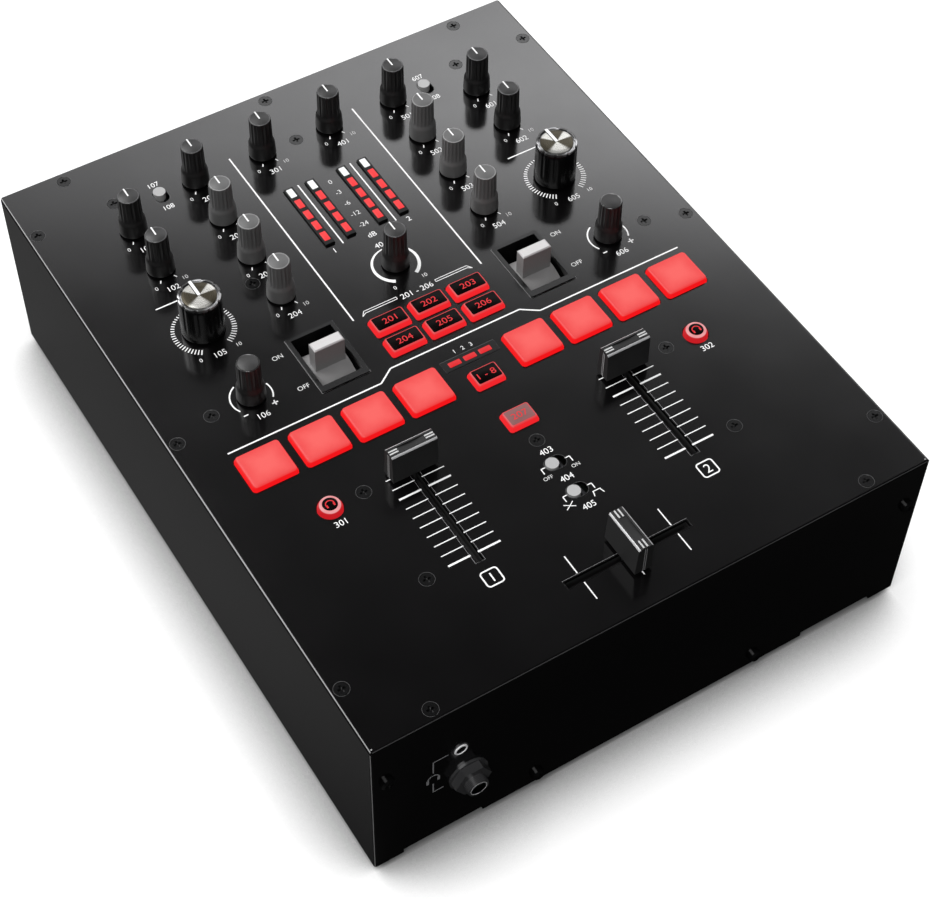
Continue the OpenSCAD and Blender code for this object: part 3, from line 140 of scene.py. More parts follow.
def upright(path, width, thick):
    """A strip whose path climbs in the Y-Z plane: width along X, thick outward."""
    path = np.asarray(path, float)
    step = directions(path)
    out = np.stack([0 * step[:, 0], -step[:, 2], step[:, 1]], 1) * thick
    return sweep(path, np.array([width / 2, 0, 0]), out)


def arc_path(cx, cy, r, start, end, z, steps=32):
    """Points of a circle of radius r from start to end, in degrees from +X."""
    t = np.radians(np.linspace(start, end, steps))
    return np.stack([cx + r * np.cos(t), cy + r * np.sin(t), z + 0 * t], 1)


def line_path(points, z):
    """The points as given, at one height."""
    points = np.asarray(points, float)
    return np.concatenate([points, np.full((len(points), 1), z)], 1)


print("a strip of 32 points has", len(strip(arc_path(0, 0, 5, 0, 90, 0), 0.5)[0]), "points")

# %% [markdown]
# Shapes are gathered as parts: points, faces and a mark that picks the material.
# A piece is made from its parts in one go. Each point also keeps its place
# relative to the piece's own middle in an attribute called "own", so that a
# material can follow a knob's axis or a cap's middle while the knob turns.

# %% Parts
def turned(profile, mark, around=72, ripple=None):
    """A part turned on a lathe: the profile's circles, joined."""
    return (*loft(circle_rings(profile, around, ripple)), mark)


def block(levels, mark, arc=6):
    """A part built up of rounded rectangles, joined."""
    return (*loft(box_rings(levels, arc)), mark)


def move(part, at, turn=0.0):
    """Turns a part about Z by turn degrees and shifts it."""
    points, faces = part[:2]
    a = math.radians(turn)
    m = np.array([[math.cos(a), math.sin(a), 0], [-math.sin(a), math.cos(a), 0], [0, 0, 1]])
    return (points @ m + np.array(at), faces) + tuple(part[2:])


def gather(parts):
    """Stacks parts into one list of points and faces. A part's mark is one number for
    all its faces, or a number for each."""
    points, faces, marks, start = [], [], [], 0
    for p, f, mark in parts:
        points.append(p)
        faces += [[start + v for v in face] for face in f]
        marks.append(np.broadcast_to(mark, len(f)))
        start += len(p)
    return np.concatenate(points), faces, np.concatenate(marks).astype(np.int32)


print("a turned part has points, faces and a mark:", len(turned([(1, 0), (1, 1)], 0)))

# %% [markdown]
# A piece that stands in for a CAD node is called its finer twin. Its parts are
# drawn round the origin, then set on the panel where the node stands, and it rides
# on the node's body. Faces that meet at more than the crease angle keep a sharp
# edge, and the rest is shaded smooth.

# %% Parts to an object
def piece(name, parts, materials, body, middle, replaces=(), crease=32):
    """Makes one mesh in metres at the origin."""
    points, faces, marks = gather(parts)
    mesh = bpy.data.meshes.new(name)
    mesh.from_pydata((points * MM).tolist(), [], faces)
    for material in materials:
        mesh.materials.append(material)
    mesh.polygons.foreach_set("material_index", marks)
    mesh.shade_smooth()
    mesh.set_sharp_from_angle(angle=math.radians(crease))
    own = mesh.attributes.new("own", "FLOAT_VECTOR", "POINT")
    own.data.foreach_set("vector", (points - np.array(middle)).astype(np.float32).ravel())
    mesh.update()
    obj = bpy.data.objects.new(name, mesh)
    bpy.context.scene.collection.objects.link(obj)
    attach(obj, body)
    if replaces:
        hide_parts(*replaces)
    return obj


def twin(node, parts, materials, turn=0.0, crease=32):
    """A finer twin of a node on the panel."""
    place = (*spot(node), PANEL)
    return piece(node + "_fine", [move(part, place, turn) for part in parts], materials, node, place,
                 [node], crease)


print("a twin of gain_knob_1 would stand at", [round(v, 2) for v in (*spot("gain_knob_1"), PANEL)])

# %% [markdown]
# ## Materials
# A finish is a few effects used again and again: fine pits, broad patches of
# slightly different sheen, dust, concentric turning marks. Each effect is a node
# group with named inputs, so one group serves many materials at other sizes.
# The helpers below write node trees from short calls.

# %% Node helpers
def new_group(name, inputs, outputs):
    """A shader node group; inputs and outputs are (name, kind[, start value])."""
    tree = bpy.data.node_groups.new(name, "ShaderNodeTree")
    for spec, way in [(s, "INPUT") for s in inputs] + [(s, "OUTPUT") for s in outputs]:
        socket = tree.interface.new_socket(spec[0], in_out=way, socket_type="NodeSocket" + spec[1])
        if len(spec) > 2:
            socket.default_value = spec[2]
    return tree, tree.nodes.new("NodeGroupInput").outputs, tree.nodes.new("NodeGroupOutput").inputs


def put(socket, value):
    """Links a socket to an output, or sets it to a plain value."""
    if isinstance(value, bpy.types.NodeSocket):
        socket.id_data.links.new(value, socket)
    elif isinstance(value, (tuple, list)) and len(value) == 3 and socket.type == "RGBA":
        socket.default_value = (*value, 1)
    else:
        socket.default_value = value


def add(tree, kind, settings=None, **links):
    """Adds a node. settings are its own properties; links are its inputs, by name with
    _ for a space, or by number as i0, i1 and so on."""
    made = tree.nodes.new("ShaderNode" + kind)
    for key, value in (settings or {}).items():
        setattr(made, key, value)
    for key, value in links.items():
        numbered = key[0] == "i" and key[1:].isdigit()
        put(made.inputs[int(key[1:]) if numbered else key.replace("_", " ")], value)
    return made


def math_node(tree, operation, a, b=0.0, c=0.0):
    """One step of arithmetic."""
    return add(tree, "Math", {"operation": operation}, i0=a, i1=b, i2=c).outputs[0]


def blend_node(tree, factor, a, b, way="MIX"):
    """Mixes two colours by a factor."""
    made = add(tree, "Mix", {"data_type": "RGBA", "blend_type": way}, i0=factor, i6=a, i7=b)
    return made.outputs[2]


def between(tree, value, low, high, to_low=0.0, to_high=1.0, smooth=True):
    """Maps value from low..high to to_low..to_high, held at both ends."""
    made = add(tree, "MapRange", {"interpolation_type": "SMOOTHSTEP" if smooth else "LINEAR"},
               i0=value, i1=low, i2=high, i3=to_low, i4=to_high)
    return made.outputs[0]


def noise(tree, vector, size, detail, rough=0.5):
    """Noise whose features are about size millimetres wide; vector is in metres."""
    scale = math_node(tree, "DIVIDE", 1 / MM, size)
    return add(tree, "TexNoise", Vector=vector, Scale=scale, Detail=detail, Roughness=rough).outputs[0]


def height_bump(tree, height, depth, strength=1.0):
    """A bump whose depth is in millimetres."""
    return add(tree, "Bump", Strength=strength, Distance=depth * MM, Height=height).outputs[0]


print("node helpers ready")

# %% [markdown]
# Powder coat is a satin skin with an orange-peel ripple a few tenths of a
# millimetre across and finer speckle. Moulded plastic is like it, only finer.
# Both come from one group, "skin": broad patches move the colour and the sheen a
# little, a middle noise gives the peel, and a fine one the grain.

# %% The skin group
skin, si, so = new_group("skin", [
    ("Vector", "Vector"), ("Tint", "Color", (0.02, 0.02, 0.02, 1)), ("Spread", "Float", 0.3),
    ("Rough Low", "Float", 0.3), ("Rough High", "Float", 0.45), ("Patch Size", "Float", 30.0),
    ("Peel Size", "Float", 0.9), ("Grain Size", "Float", 0.18), ("Dust", "Float", 0.0)],
    [("Color", "Color"), ("Roughness", "Float"), ("Height", "Float")])
DUST_GREY = (0.32, 0.31, 0.3)
patches = noise(skin, si["Vector"], si["Patch Size"], 4.0)
peel = noise(skin, si["Vector"], si["Peel Size"], 1.0)
grain = noise(skin, si["Vector"], si["Grain Size"], 2.0, 0.6)
speck = between(skin, grain, 0.62, 0.78)
shade = 1.0
for effect in (patches, grain):
    shade = math_node(skin, "MULTIPLY_ADD", math_node(skin, "SUBTRACT", effect, 0.5), si["Spread"], shade)
body_colour = add(skin, "VectorMath", {"operation": "SCALE"}, i0=si["Tint"], Scale=shade).outputs[0]
dust = math_node(skin, "MULTIPLY", speck, math_node(skin, "MULTIPLY", si["Dust"], patches))
put(so["Color"], blend_node(skin, dust, body_colour, DUST_GREY))
rough_mix = math_node(skin, "MULTIPLY_ADD", grain, 0.5, math_node(skin, "MULTIPLY", patches, 0.5))
put(so["Roughness"], between(skin, rough_mix, 0.3, 0.7, si["Rough Low"], si["Rough High"], False))
put(so["Height"], math_node(skin, "MULTIPLY_ADD", grain, 0.35, math_node(skin, "MULTIPLY", peel, 0.65)))
print("skin group has", len(skin.nodes), "nodes")

# %% [markdown]
# A material then is a Principled shader fed by the group. Constants that belong to
# the shader, such as how much light a smooth dielectric throws back, are set on
# the shader itself.

# %% Helpers for materials
def material(name):
    """An empty node material, its tree and its shader."""
    made = bpy.data.materials.new(name)
    made.use_nodes = True
    tree = made.node_tree
    tree.nodes.clear()
    out = tree.nodes.new("ShaderNodeOutputMaterial")
    shader = tree.nodes.new("ShaderNodeBsdfPrincipled")
    tree.links.new(shader.outputs[0], out.inputs[0])
    return made, tree, shader


def group_node(tree, group, **inputs):
    """A group inside a material; inputs by name, with _ for a space."""
    made = tree.nodes.new("ShaderNodeGroup")
    made.node_tree = group
    for key, value in inputs.items():
        put(made.inputs[key.replace("_", " ")], value)
    return made.outputs


def object_place(tree):
    """The point's place on the object, in metres."""
    return tree.nodes.new("ShaderNodeTexCoord").outputs["Object"]


def own_place(tree):
    """The point's place from the piece's own middle, in millimetres."""
    return add(tree, "Attribute", {"attribute_name": "own"}).outputs["Vector"]


def set_shader(shader, **values):
    """Sets or links the shader's inputs by name, with _ for a space."""
    for key, value in values.items():
        put(shader.inputs[key.replace("_", " ")], value)


print("material helpers ready")

# %% [markdown]
# Most finishes of the mixer are one call each: a tint, the range of roughness,
# how much the patches move the colour, the sizes of peel and grain, and a bump. A
# few thousandths of a millimetre are enough to break a highlight. The tint is a
# colour, or a function that paints one from nodes where a single CAD node has
# several colours.

# %% Finishes from the skin group
def skinned(name, tint, rough, spread, peel, grain, bump, dust=0.0, metal=0.0, specular=0.5, patch=30.0):
    """A finish from the skin group; sizes and the bump's depth are in millimetres. A
    tint that is a function gets the tree, and gives the colour and the metal."""
    made, tree, shader = material(name)
    if callable(tint):
        tint, metal = tint(tree)
    got = group_node(tree, skin, Vector=object_place(tree), Tint=tint, Spread=spread,
                     Rough_Low=rough[0], Rough_High=rough[1], Peel_Size=peel, Grain_Size=grain,
                     Dust=dust, Patch_Size=patch)
    set_shader(shader, Base_Color=got["Color"], Roughness=got["Roughness"], Metallic=metal,
               Specular_IOR_Level=specular, Normal=height_bump(tree, got["Height"], bump))
    return made


CASE = skinned("case_paint", (0.0013, 0.0012, 0.0013), (0.12, 0.16), 0.3, 0.8, 0.16, 0.004, 0.002)
TRAY = skinned("tray_paint", (0.004, 0.004, 0.0042), (0.4, 0.55), 0.3, 0.9, 0.2, 0.02, 0.04, specular=0.3)
RUBBER = skinned("foot_rubber", (0.006, 0.006, 0.006), (0.6, 0.8), 0.4, 0.5, 0.1, 0.03, 0.06, specular=0.3)
SCREW = skinned("screw_black", (0.0016, 0.0016, 0.0017), (0.16, 0.22), 0.5, 0.6, 0.08, 0.004, specular=0.3)
BOARD = skinned("board_mask", (0.004, 0.008, 0.006), (0.35, 0.5), 0.5, 1.2, 0.3, 0.01, patch=8.0)
COMPONENT = skinned("component", (0.03, 0.03, 0.034), (0.4, 0.6), 0.5, 1.0, 0.15, 0.01)
FADER_METAL = skinned("fader_metal", (0.02, 0.02, 0.02), (0.4, 0.6), 0.3, 0.7, 0.1, 0.005, metal=0.3)
BEZEL = skinned("bezel_black", (0.0015, 0.0015, 0.0016), (0.2, 0.3), 0.3, 0.5, 0.12, 0.004, specular=0.3)
ROCKER = skinned("rocker_black", (0.006, 0.006, 0.0063), (0.3, 0.42), 0.3, 0.5, 0.1, 0.008)
GLOSS = skinned("knob_gloss", (0.0018, 0.0018, 0.0019), (0.2, 0.3), 0.25, 1.4, 0.3, 0.004, specular=0.2)
SWITCH = skinned("switch_cap", (0.25, 0.25, 0.25), (0.35, 0.5), 0.2, 0.4, 0.08, 0.006)
print("finishes from the skin group so far:", skin.users)

# %% [markdown]
# Printed marks are a matt white ink, and its own group adds the tiny breaks in
# coverage that silk-screened ink has over an orange-peel coat. The ink also glows
# a little: painted light that keeps the print bright where knobs and keys shade it.

# %% Ink
ink, ii, io = new_group("ink", [("Vector", "Vector"), ("Tint", "Color", (0.8, 0.8, 0.8, 1)),
                                ("Wear", "Float", 0.1)], [("Color", "Color"), ("Roughness", "Float")])
COAT_BELOW = (0.05, 0.05, 0.05)
cover = between(ink, noise(ink, ii["Vector"], 0.25, 3.0), 0.35, 0.6)
bare = math_node(ink, "MULTIPLY", math_node(ink, "SUBTRACT", 1.0, cover), ii["Wear"])
put(io["Color"], blend_node(ink, bare, ii["Tint"], COAT_BELOW))
put(io["Roughness"], between(ink, cover, 0.0, 1.0, 0.6, 0.45, False))


def inked(name, tint, wear, glow):
    """Ink of one colour; glow is painted light that lifts it everywhere, also where it lies in shade."""
    made, tree, shader = material(name)
    got = group_node(tree, ink, Vector=object_place(tree), Tint=tint, Wear=wear)
    # the emission is painted light, for the ink has no lamp behind it
    set_shader(shader, Base_Color=got["Color"], Roughness=got["Roughness"], Emission_Color=got["Color"],
               Emission_Strength=glow, Specular_IOR_Level=0.3)
    return made


# the last number of each ink is its painted glow
PRINT = inked("print_white", (0.42, 0.42, 0.42), 0.06, 0.8)
PRINT_DIM = inked("print_dim", (0.16, 0.16, 0.165), 0.15, 0.2)
PRINT_SOFT = inked("print_soft", (0.36, 0.36, 0.36), 0.08, 0.6)
print("inks:", [made.name for made in (PRINT, PRINT_DIM, PRINT_SOFT)])

# %% [markdown]
# ## Knobs
# Seventeen small knobs share one shape: a low skirt, a flare and a fluted grip
# with a flat disc on top. The radius follows the profile, and in the grip a row of
# shallow scoops is taken from it: depth times |cos(n t / 2)| to a power, which
# leaves narrow ribs between wide hollows. The tone knobs are grey and the rest
# black; the two loop knobs have a glossy rim and no pointer.

# %% Small knob
KNOB = skinned("knob_black", (0.0038, 0.0036, 0.0037), (0.36, 0.5), 0.35, 0.4, 0.1, 0.008, 0.01,
               specular=0.45)
KNOB_GREY = skinned("knob_grey", (0.06, 0.06, 0.06), (0.36, 0.5), 0.25, 0.4, 0.1, 0.008, specular=0.45)
RIM = skinned("knob_rim", (0.04, 0.04, 0.042), (0.25, 0.4), 0.2, 0.5, 0.1, 0.003)
RIM_GLOSS = skinned("knob_rim_gloss", (0.008, 0.008, 0.008), (0.08, 0.16), 0.2, 0.5, 0.1, 0.002, specular=0.8)
RIM_GREY = skinned("knob_rim_grey", (0.16, 0.16, 0.16), (0.3, 0.4), 0.2, 0.5, 0.1, 0.003)
DISC = skinned("knob_disc", (0.012, 0.012, 0.0125), (0.35, 0.5), 0.2, 0.4, 0.08, 0.004)
DISC_GREY = skinned("knob_disc_grey", (0.10, 0.10, 0.10), (0.35, 0.5), 0.2, 0.4, 0.08, 0.004)
RIBS = 18
GRIP_FOOT, GRIP_TOP = 9.2, 20.75


def grip_scoops(t, z):
    """A scoop between every two ribs, faded in at the flare and out at the top."""
    wave = np.abs(np.cos(RIBS * t / 2)) ** 1.6
    return -0.3 * wave * np.clip((z - GRIP_FOOT) / 0.9, 0, 1) * np.clip((GRIP_TOP - z) / 0.3, 0, 1)


def small_knob(node, body_finish, rim_finish, disc_finish, pointer=True):
    """A profile of radius over height, revolved; the pointer runs up one rib and in."""
    skirt = [(5.5, 0.9), (6.02, 1.0), (6.1, 1.25), (6.08, 2.2), (5.83, 6.6), (5.75, 7.4), (5.6, 7.85)]
    grip = [(5.28, 8.6), (5.1, 9.1), (5.05, 9.7), (5.02, 12), (4.97, 15), (4.92, 18), (4.88, 19.9),
            (4.8, 20.45), (4.62, 20.78), (4.45, 20.86)]
    rim = [(4.5, 20.84), (4.42, 20.92), (4.2, 20.93), (4.12, 20.86), (4.1, 20.7)]
    disc = [(4.12, 20.5), (4.1, 20.68), (3.9, 20.72), (2.0, 20.74), (0.4, 20.75)]
    parts = [turned(skirt + grip, 0, 144, grip_scoops), turned(rim, 1, 96), turned(disc, 2, 96)]
    if pointer:
        top = [(0, 0.0, 20.8), (0, 2.2, 20.84), (0, 4.1, 20.93), (0, 4.5, 20.93)]
        side = [(0, 4.66, 20.84), (0, 4.86, 20.4), (0, 4.96, 19.4), (0, 5.02, 15), (0, 5.1, 10.4)]
        parts.append((*upright(top + side, 0.62, 0.1), 3))
    return twin(node, parts, [body_finish, rim_finish, disc_finish, PRINT])


tone_controls = [f"{band}_knob_{side}" for band in ("treble", "mid", "bass") for side in (1, 2)]
level_controls = ["tone_knob", "mic_knob", "cue_mix_knob", "cue_gain_knob", "booth_knob", "master_knob",
                  "fx_knob", "gain_knob_1", "gain_knob_2"]
for node in sorted(tone_controls + level_controls):
    if node in tone_controls:
        small_knob(node, KNOB_GREY, RIM_GREY, DISC_GREY)
    else:
        small_knob(node, KNOB, RIM, DISC)
for side in (1, 2):
    small_knob(f"loop_knob_{side}", KNOB, RIM_GLOSS, DISC, pointer=False)
print(len(tone_controls), "grey,", len(level_controls), "black and 2 loop knobs made")

# %% [markdown]
# The two filter knobs are larger and glossy. Each ends in a scalloped bright ring
# round a turned cap. A turned face throws light in wedges, because its grooves run
# round the axis; painting those wedges by angle, over fine ring grooves, holds up
# from every side and turns with the knob.

# %% Spun metal group
spun, pi_, po = new_group("spun", [("Vector", "Vector"), ("Bright", "Color", (0.8, 0.8, 0.8, 1)),
                                   ("Dark", "Color", (0.2, 0.17, 0.15, 1)), ("Turn", "Float", 0.0),
                                   ("Groove", "Float", 0.12)],
                          [("Color", "Color"), ("Roughness", "Float"), ("Height", "Float")])
WEDGES = ((115, 24), (248, 54), (15, 24))  # middle and half width of each, in degrees
across, along = add(spun, "SeparateXYZ", Vector=pi_["Vector"]).outputs[:2]
angle = math_node(spun, "SUBTRACT", math_node(spun, "ARCTAN2", along, across), pi_["Turn"])
from_axis = add(spun, "CombineXYZ", X=across, Y=along).outputs[0]
radius = add(spun, "VectorMath", {"operation": "LENGTH"}, i0=from_axis).outputs["Value"]
wedge_light = 0.0
for middle, half_width in WEDGES:
    facing = math_node(spun, "COSINE", math_node(spun, "SUBTRACT", angle, math.radians(middle)))
    dark_at, bright_at = (math.cos(math.radians(half_width * share)) for share in (1.0, 0.2))
    wedge = between(spun, facing, dark_at, bright_at)
    wedge_light = math_node(spun, "MAXIMUM", wedge_light, wedge)
grooves = add(spun, "TexNoise", {"noise_dimensions": "1D"}, Scale=1.0, Detail=3.0,
              W=math_node(spun, "DIVIDE", radius, pi_["Groove"])).outputs[0]
sheen = between(spun, math_node(spun, "MULTIPLY_ADD", grooves, 0.16, wedge_light), 0.1, 1.0)
put(po["Color"], blend_node(spun, sheen, pi_["Dark"], pi_["Bright"]))
put(po["Roughness"], between(spun, grooves, 0.3, 0.7, 0.22, 0.36, False))
put(po["Height"], grooves)


def spun_metal(name, bright, dark, turn=0.0, groove=0.12):
    """Metal turned round the piece's own axis."""
    made, tree, shader = material(name)
    got = group_node(tree, spun, Vector=own_place(tree), Bright=bright, Dark=dark, Turn=turn, Groove=groove)
    set_shader(shader, Base_Color=got["Color"], Roughness=got["Roughness"], Metallic=0.75,
               Normal=height_bump(tree, got["Height"], 0.01, 0.6))
    return made


SPUN = spun_metal("filter_cap", (0.36, 0.355, 0.335), (0.03, 0.025, 0.015))
CHROME = spun_metal("filter_ring", (0.3, 0.3, 0.305), (0.05, 0.05, 0.05), 0.9, 0.3)
print("spun group has", len(spun.nodes), "nodes")

# %% [markdown]
# The bright ring has ten round bites, and the drum below it ten shallower hollows
# in line with them, which fade out over its foot.

# %% Filter knobs
BITES = 10
BITE_EDGE = 0.55  # the cosine at which a bite begins


def ring_bites(t, z):
    """Half a millimetre at the middle of each bite, the same at every height."""
    bite = np.clip(np.cos(BITES * (t - np.pi / BITES)), BITE_EDGE, 1) - BITE_EDGE
    return -0.5 * bite / (1 - BITE_EDGE)


def drum_hollows(t, z):
    """The ring's bites at half their depth, faded in between 5 and 7.5 mm up."""
    return 0.5 * ring_bites(t, z) * np.clip((z - 5.0) / 2.5, 0, 1)


def filter_knob(node):
    """A glossy drum, a scalloped ring, a groove and a turned cap, with its pointer."""
    drum = [(8.5, 0.9), (9.1, 1.0), (9.2, 1.3), (9.19, 2.5), (9.15, 5.0), (9.14, 5.8), (9.13, 6.6),
            (9.12, 7.5), (9.02, 17.8), (8.95, 19.1), (8.8, 19.5), (8.5, 19.6)]
    ring = [(8.3, 19.4), (8.75, 19.5), (8.9, 19.75), (8.9, 20.35), (8.8, 20.62), (8.6, 20.7), (8.2, 20.7),
            (8.05, 20.6), (8.0, 20.1)]
    groove = [(8.1, 19.6), (8.1, 20.05), (7.0, 20.06)]
    cap = [(7.0, 19.8), (7.2, 20.0), (7.2, 20.5), (7.1, 20.66), (6.9, 20.72), (5, 20.76), (2.5, 20.79),
           (0.3, 20.8)]
    bed = [(0, 0.4, 20.8), (0, 5, 20.78), (0, 7.1, 20.74)]
    on_top = [(0, 0.0, 20.84), (0, 5, 20.82), (0, 7.3, 20.76), (0, 8.6, 20.74)]
    down_side = [(0, 8.75, 20.66), (0, 8.98, 20.2), (0, 9.0, 19.4), (0, 9.12, 12), (0, 9.2, 7)]
    parts = [turned(drum, 0, 200, drum_hollows), turned(ring, 1, 240, ring_bites), turned(groove, 0, 96),
             turned(cap, 2, 120), (*upright(bed, 2.0, 0.06), 0), (*upright(on_top, 1.3, 0.1), 3),
             (*upright(down_side, 1.0, 0.1), 3)]
    return twin(node, parts, [GLOSS, CHROME, SPUN, PRINT])


for side in (1, 2):
    filter_knob(f"filter_knob_{side}")
print("filter knobs stand at", [tuple(round(v, 2) for v in spot(f"filter_knob_{i}")) for i in (1, 2)])

# %% [markdown]
# ## Lit keys
# The pads and buttons are milky red plastic over lamps. Such a key is brightest
# and palest in the middle of its top and deepest red down its sides. The group
# "lamp" says that in numbers: it measures how far a point is from the middle of
# the key, as a share of the key's half width and depth, and how low it is.

# %% Lamp group
lamp, li, lo = new_group("lamp", [("Vector", "Vector"), ("Half Width", "Float", 10.0),
                                  ("Half Depth", "Float", 9.0), ("Top", "Float", 2.3),
                                  ("Core", "Color", (1, 0.17, 0.16, 1)),
                                  ("Rim", "Color", (0.95, 0.09, 0.09, 1)),
                                  ("Side", "Color", (1, 0.012, 0.015, 1))],
                         [("Color", "Color"), ("Roughness", "Float"), ("Height", "Float")])
across, along, above = add(lamp, "SeparateXYZ", Vector=li["Vector"]).outputs
share_x = math_node(lamp, "DIVIDE", math_node(lamp, "ABSOLUTE", across), li["Half Width"])
share_y = math_node(lamp, "DIVIDE", math_node(lamp, "ABSOLUTE", along), li["Half Depth"])
share = math_node(lamp, "SMOOTH_MAX", share_x, share_y, 0.3)
milk = add(lamp, "TexNoise", Vector=li["Vector"], Scale=0.35, Detail=3.0).outputs[0]
share = math_node(lamp, "MULTIPLY_ADD", math_node(lamp, "SUBTRACT", milk, 0.5), 0.25, share)
top_colour = blend_node(lamp, between(lamp, share, 0.2, 1.0), li["Core"], li["Rim"])
depth = math_node(lamp, "SUBTRACT", li["Top"], above)
put(lo["Color"], blend_node(lamp, between(lamp, depth, 0.25, 0.75), top_colour, li["Side"]))
fine_grain = add(lamp, "TexNoise", Vector=li["Vector"], Scale=9.0, Detail=2.0).outputs[0]
put(lo["Roughness"], between(lamp, fine_grain, 0.3, 0.7, 0.35, 0.5, False))
put(lo["Height"], fine_grain)
UNLIT = (0.035, 0.035, 0.035)  # what the plastic throws back, as a share of its glow


def lit(name, half_w, half_d, top, core, rim, side, glow=0.88):
    """Milky plastic over a lamp."""
    made, tree, shader = material(name)
    got = group_node(tree, lamp, Vector=own_place(tree), Half_Width=half_w, Half_Depth=half_d, Top=top,
                     Core=core, Rim=rim, Side=side)
    set_shader(shader, Emission_Color=got["Color"], Emission_Strength=glow, Specular_IOR_Level=0.22,
               Base_Color=blend_node(tree, 1.0, got["Color"], UNLIT, "MULTIPLY"), Roughness=got["Roughness"],
               Normal=height_bump(tree, got["Height"], 0.01, 0.3))
    return made


PAD = lit("pad_glow", 10.0, 9.2, 2.3, (1.0, 0.125, 0.115), (0.93, 0.06, 0.06), (1.0, 0.008, 0.011))
KEY = lit("button_red", 8.2, 4.8, 2.5, (0.6, 0.12, 0.14), (0.8, 0.06, 0.065), (0.95, 0.02, 0.026), 0.9)
CUE = lit("cue_glow", 5.2, 5.2, 2.5, (0.75, 0.22, 0.23), (0.95, 0.42, 0.43), (0.62, 0.012, 0.018))
SIGN = lit("key_sign", 6.0, 3.0, 2.6, (0.8, 0.02, 0.028), (0.8, 0.025, 0.035), (0.8, 0.02, 0.03), 0.95)
PINK = lit("tap_window", 6.0, 4.0, 2.5, (0.27, 0.12, 0.12), (0.33, 0.12, 0.12), (0.5, 0.05, 0.05), 0.8)
WINDOW = skinned("key_window", (0.0015, 0.0008, 0.0008), (0.2, 0.3), 0.4, 0.4, 0.08, 0.003, specular=0.03)
print("lamp group has", len(lamp.nodes), "nodes")

# %% [markdown]
# A key is a stack of rounded rectangles that lean in and round over at the
# shoulder. The smaller keys have a dark window sunk in their top with a lit sign
# on it. Lettering is Blender's own text, made a mesh before it is placed.

# %% Shapes of keys and lettering
def key_levels(w, d, rise, lean, r):
    """Levels from just under the panel to the top: w and d less an inset at each."""
    insets = [(0, r, -1.3), (0, r, 0), (1.6 * lean, r, rise - 0.45), (2 * lean + 0.1, r, rise - 0.2),
              (2 * lean + 0.4, r, rise - 0.05), (2 * lean + 0.7, r, rise), (2 * lean + 3, r * 0.6, rise)]
    return [(w - inset, d - inset, corner, z) for inset, corner, z in insets]


def window_part(w, d, z, mark):
    """A thin inlay on top of a key."""
    return block([(w, d, 0.7, z), (w, d, 0.7, z + 0.04), (w - 0.1, d - 0.1, 0.7, z + 0.06)], mark)


def words(text, height, at, mark, squeeze=1.0):
    """Lettering as a flat mesh whose capitals are height tall, its middle at (x, y, z)."""
    curve = bpy.data.curves.new("lettering", "FONT")
    curve.body, curve.size, curve.align_x, curve.align_y = text, height / 0.7, "CENTER", "CENTER"
    curve.resolution_u = 6
    holder = bpy.data.objects.new("lettering", curve)
    bpy.context.scene.collection.objects.link(holder)
    mesh = bpy.data.meshes.new_from_object(holder.evaluated_get(bpy.context.evaluated_depsgraph_get()))
    co = np.zeros(len(mesh.vertices) * 3)
    mesh.vertices.foreach_get("co", co)
    co = co.reshape(-1, 3)
    co[:, :2] -= (co[:, :2].max(0) + co[:, :2].min(0)) / 2
    co[:, 0] *= squeeze
    faces = [list(p.vertices) for p in mesh.polygons]
    bpy.data.objects.remove(holder)
    bpy.data.meshes.remove(mesh)
    bpy.data.curves.remove(curve)
    return move((co, faces, mark), at)


print("the word ON has", len(words("ON", 2, (0, 0, 0), 0)[0]), "points")

# %% [markdown]
# The eight pads are plain tiles of light. The six effect keys, the pad mode key
# and the tap key each have a window with a number, and the two cue keys are round,
# with a headphone sign drawn as an arc and two short bars.

# %% Pads, buttons and cue keys
for i in range(1, 9):
    twin(f"pad_{i}", [block(key_levels(20.1, 18.4, 2.3, 0.65, 1.5), 0, 8)], [PAD], crease=60)
keys = [(f"fx_button_{i}", 16.5, 9.6, 14.0, 7.1, f"20{i}", WINDOW) for i in range(1, 7)]
keys += [("pad_mode_button", 13.4, 9.8, 10.9, 7.3, "1 - 8", WINDOW),
         ("tap_button", 13.4, 9.8, 10.9, 7.3, "207", PINK)]
for node, w, d, window_w, window_d, sign, window in keys:
    parts = [block(key_levels(w, d, 2.5, 0.8, 1.0), 0), window_part(window_w, window_d, 2.47, 1),
             words(sign, 3.0, (0, 0, 2.57), 2, squeeze=1.15)]
    twin(node, parts, [KEY, window, SIGN])
headband = (*strip(arc_path(0, -0.1, 1.75, -20, 200, 2.57), 0.4), 2)
ear_cup = (*strip(line_path([(0, -0.9), (0, 0.5)], 2.57), 0.7), 2)
for side in (1, 2):
    body = [(5.2, -1.3), (5.2, 0.05), (4.25, 2.1), (4.05, 2.4), (3.85, 2.5), (3.0, 2.5)]
    window = [(3.1, 2.48), (3.1, 2.54), (3.0, 2.56)]
    parts = [turned(body, 0), turned(window, 1, 60), headband,
             move(ear_cup, (-1.5, -0.5, 0)), move(ear_cup, (1.5, -0.5, 0))]
    twin(f"cue_button_{side}", parts, [CUE, WINDOW, SIGN])
print(8 + len(keys) + 2, "lit keys made")

# %% [markdown]
# ## Level meters
# Four raised bars carry five windows each, white at the top and red below. The
# bars are CAD; the lit windows are separate low tiles with a rounded edge, so
# that they glow while the bar stays grey. Three more windows lie in the panel
# between the pads.

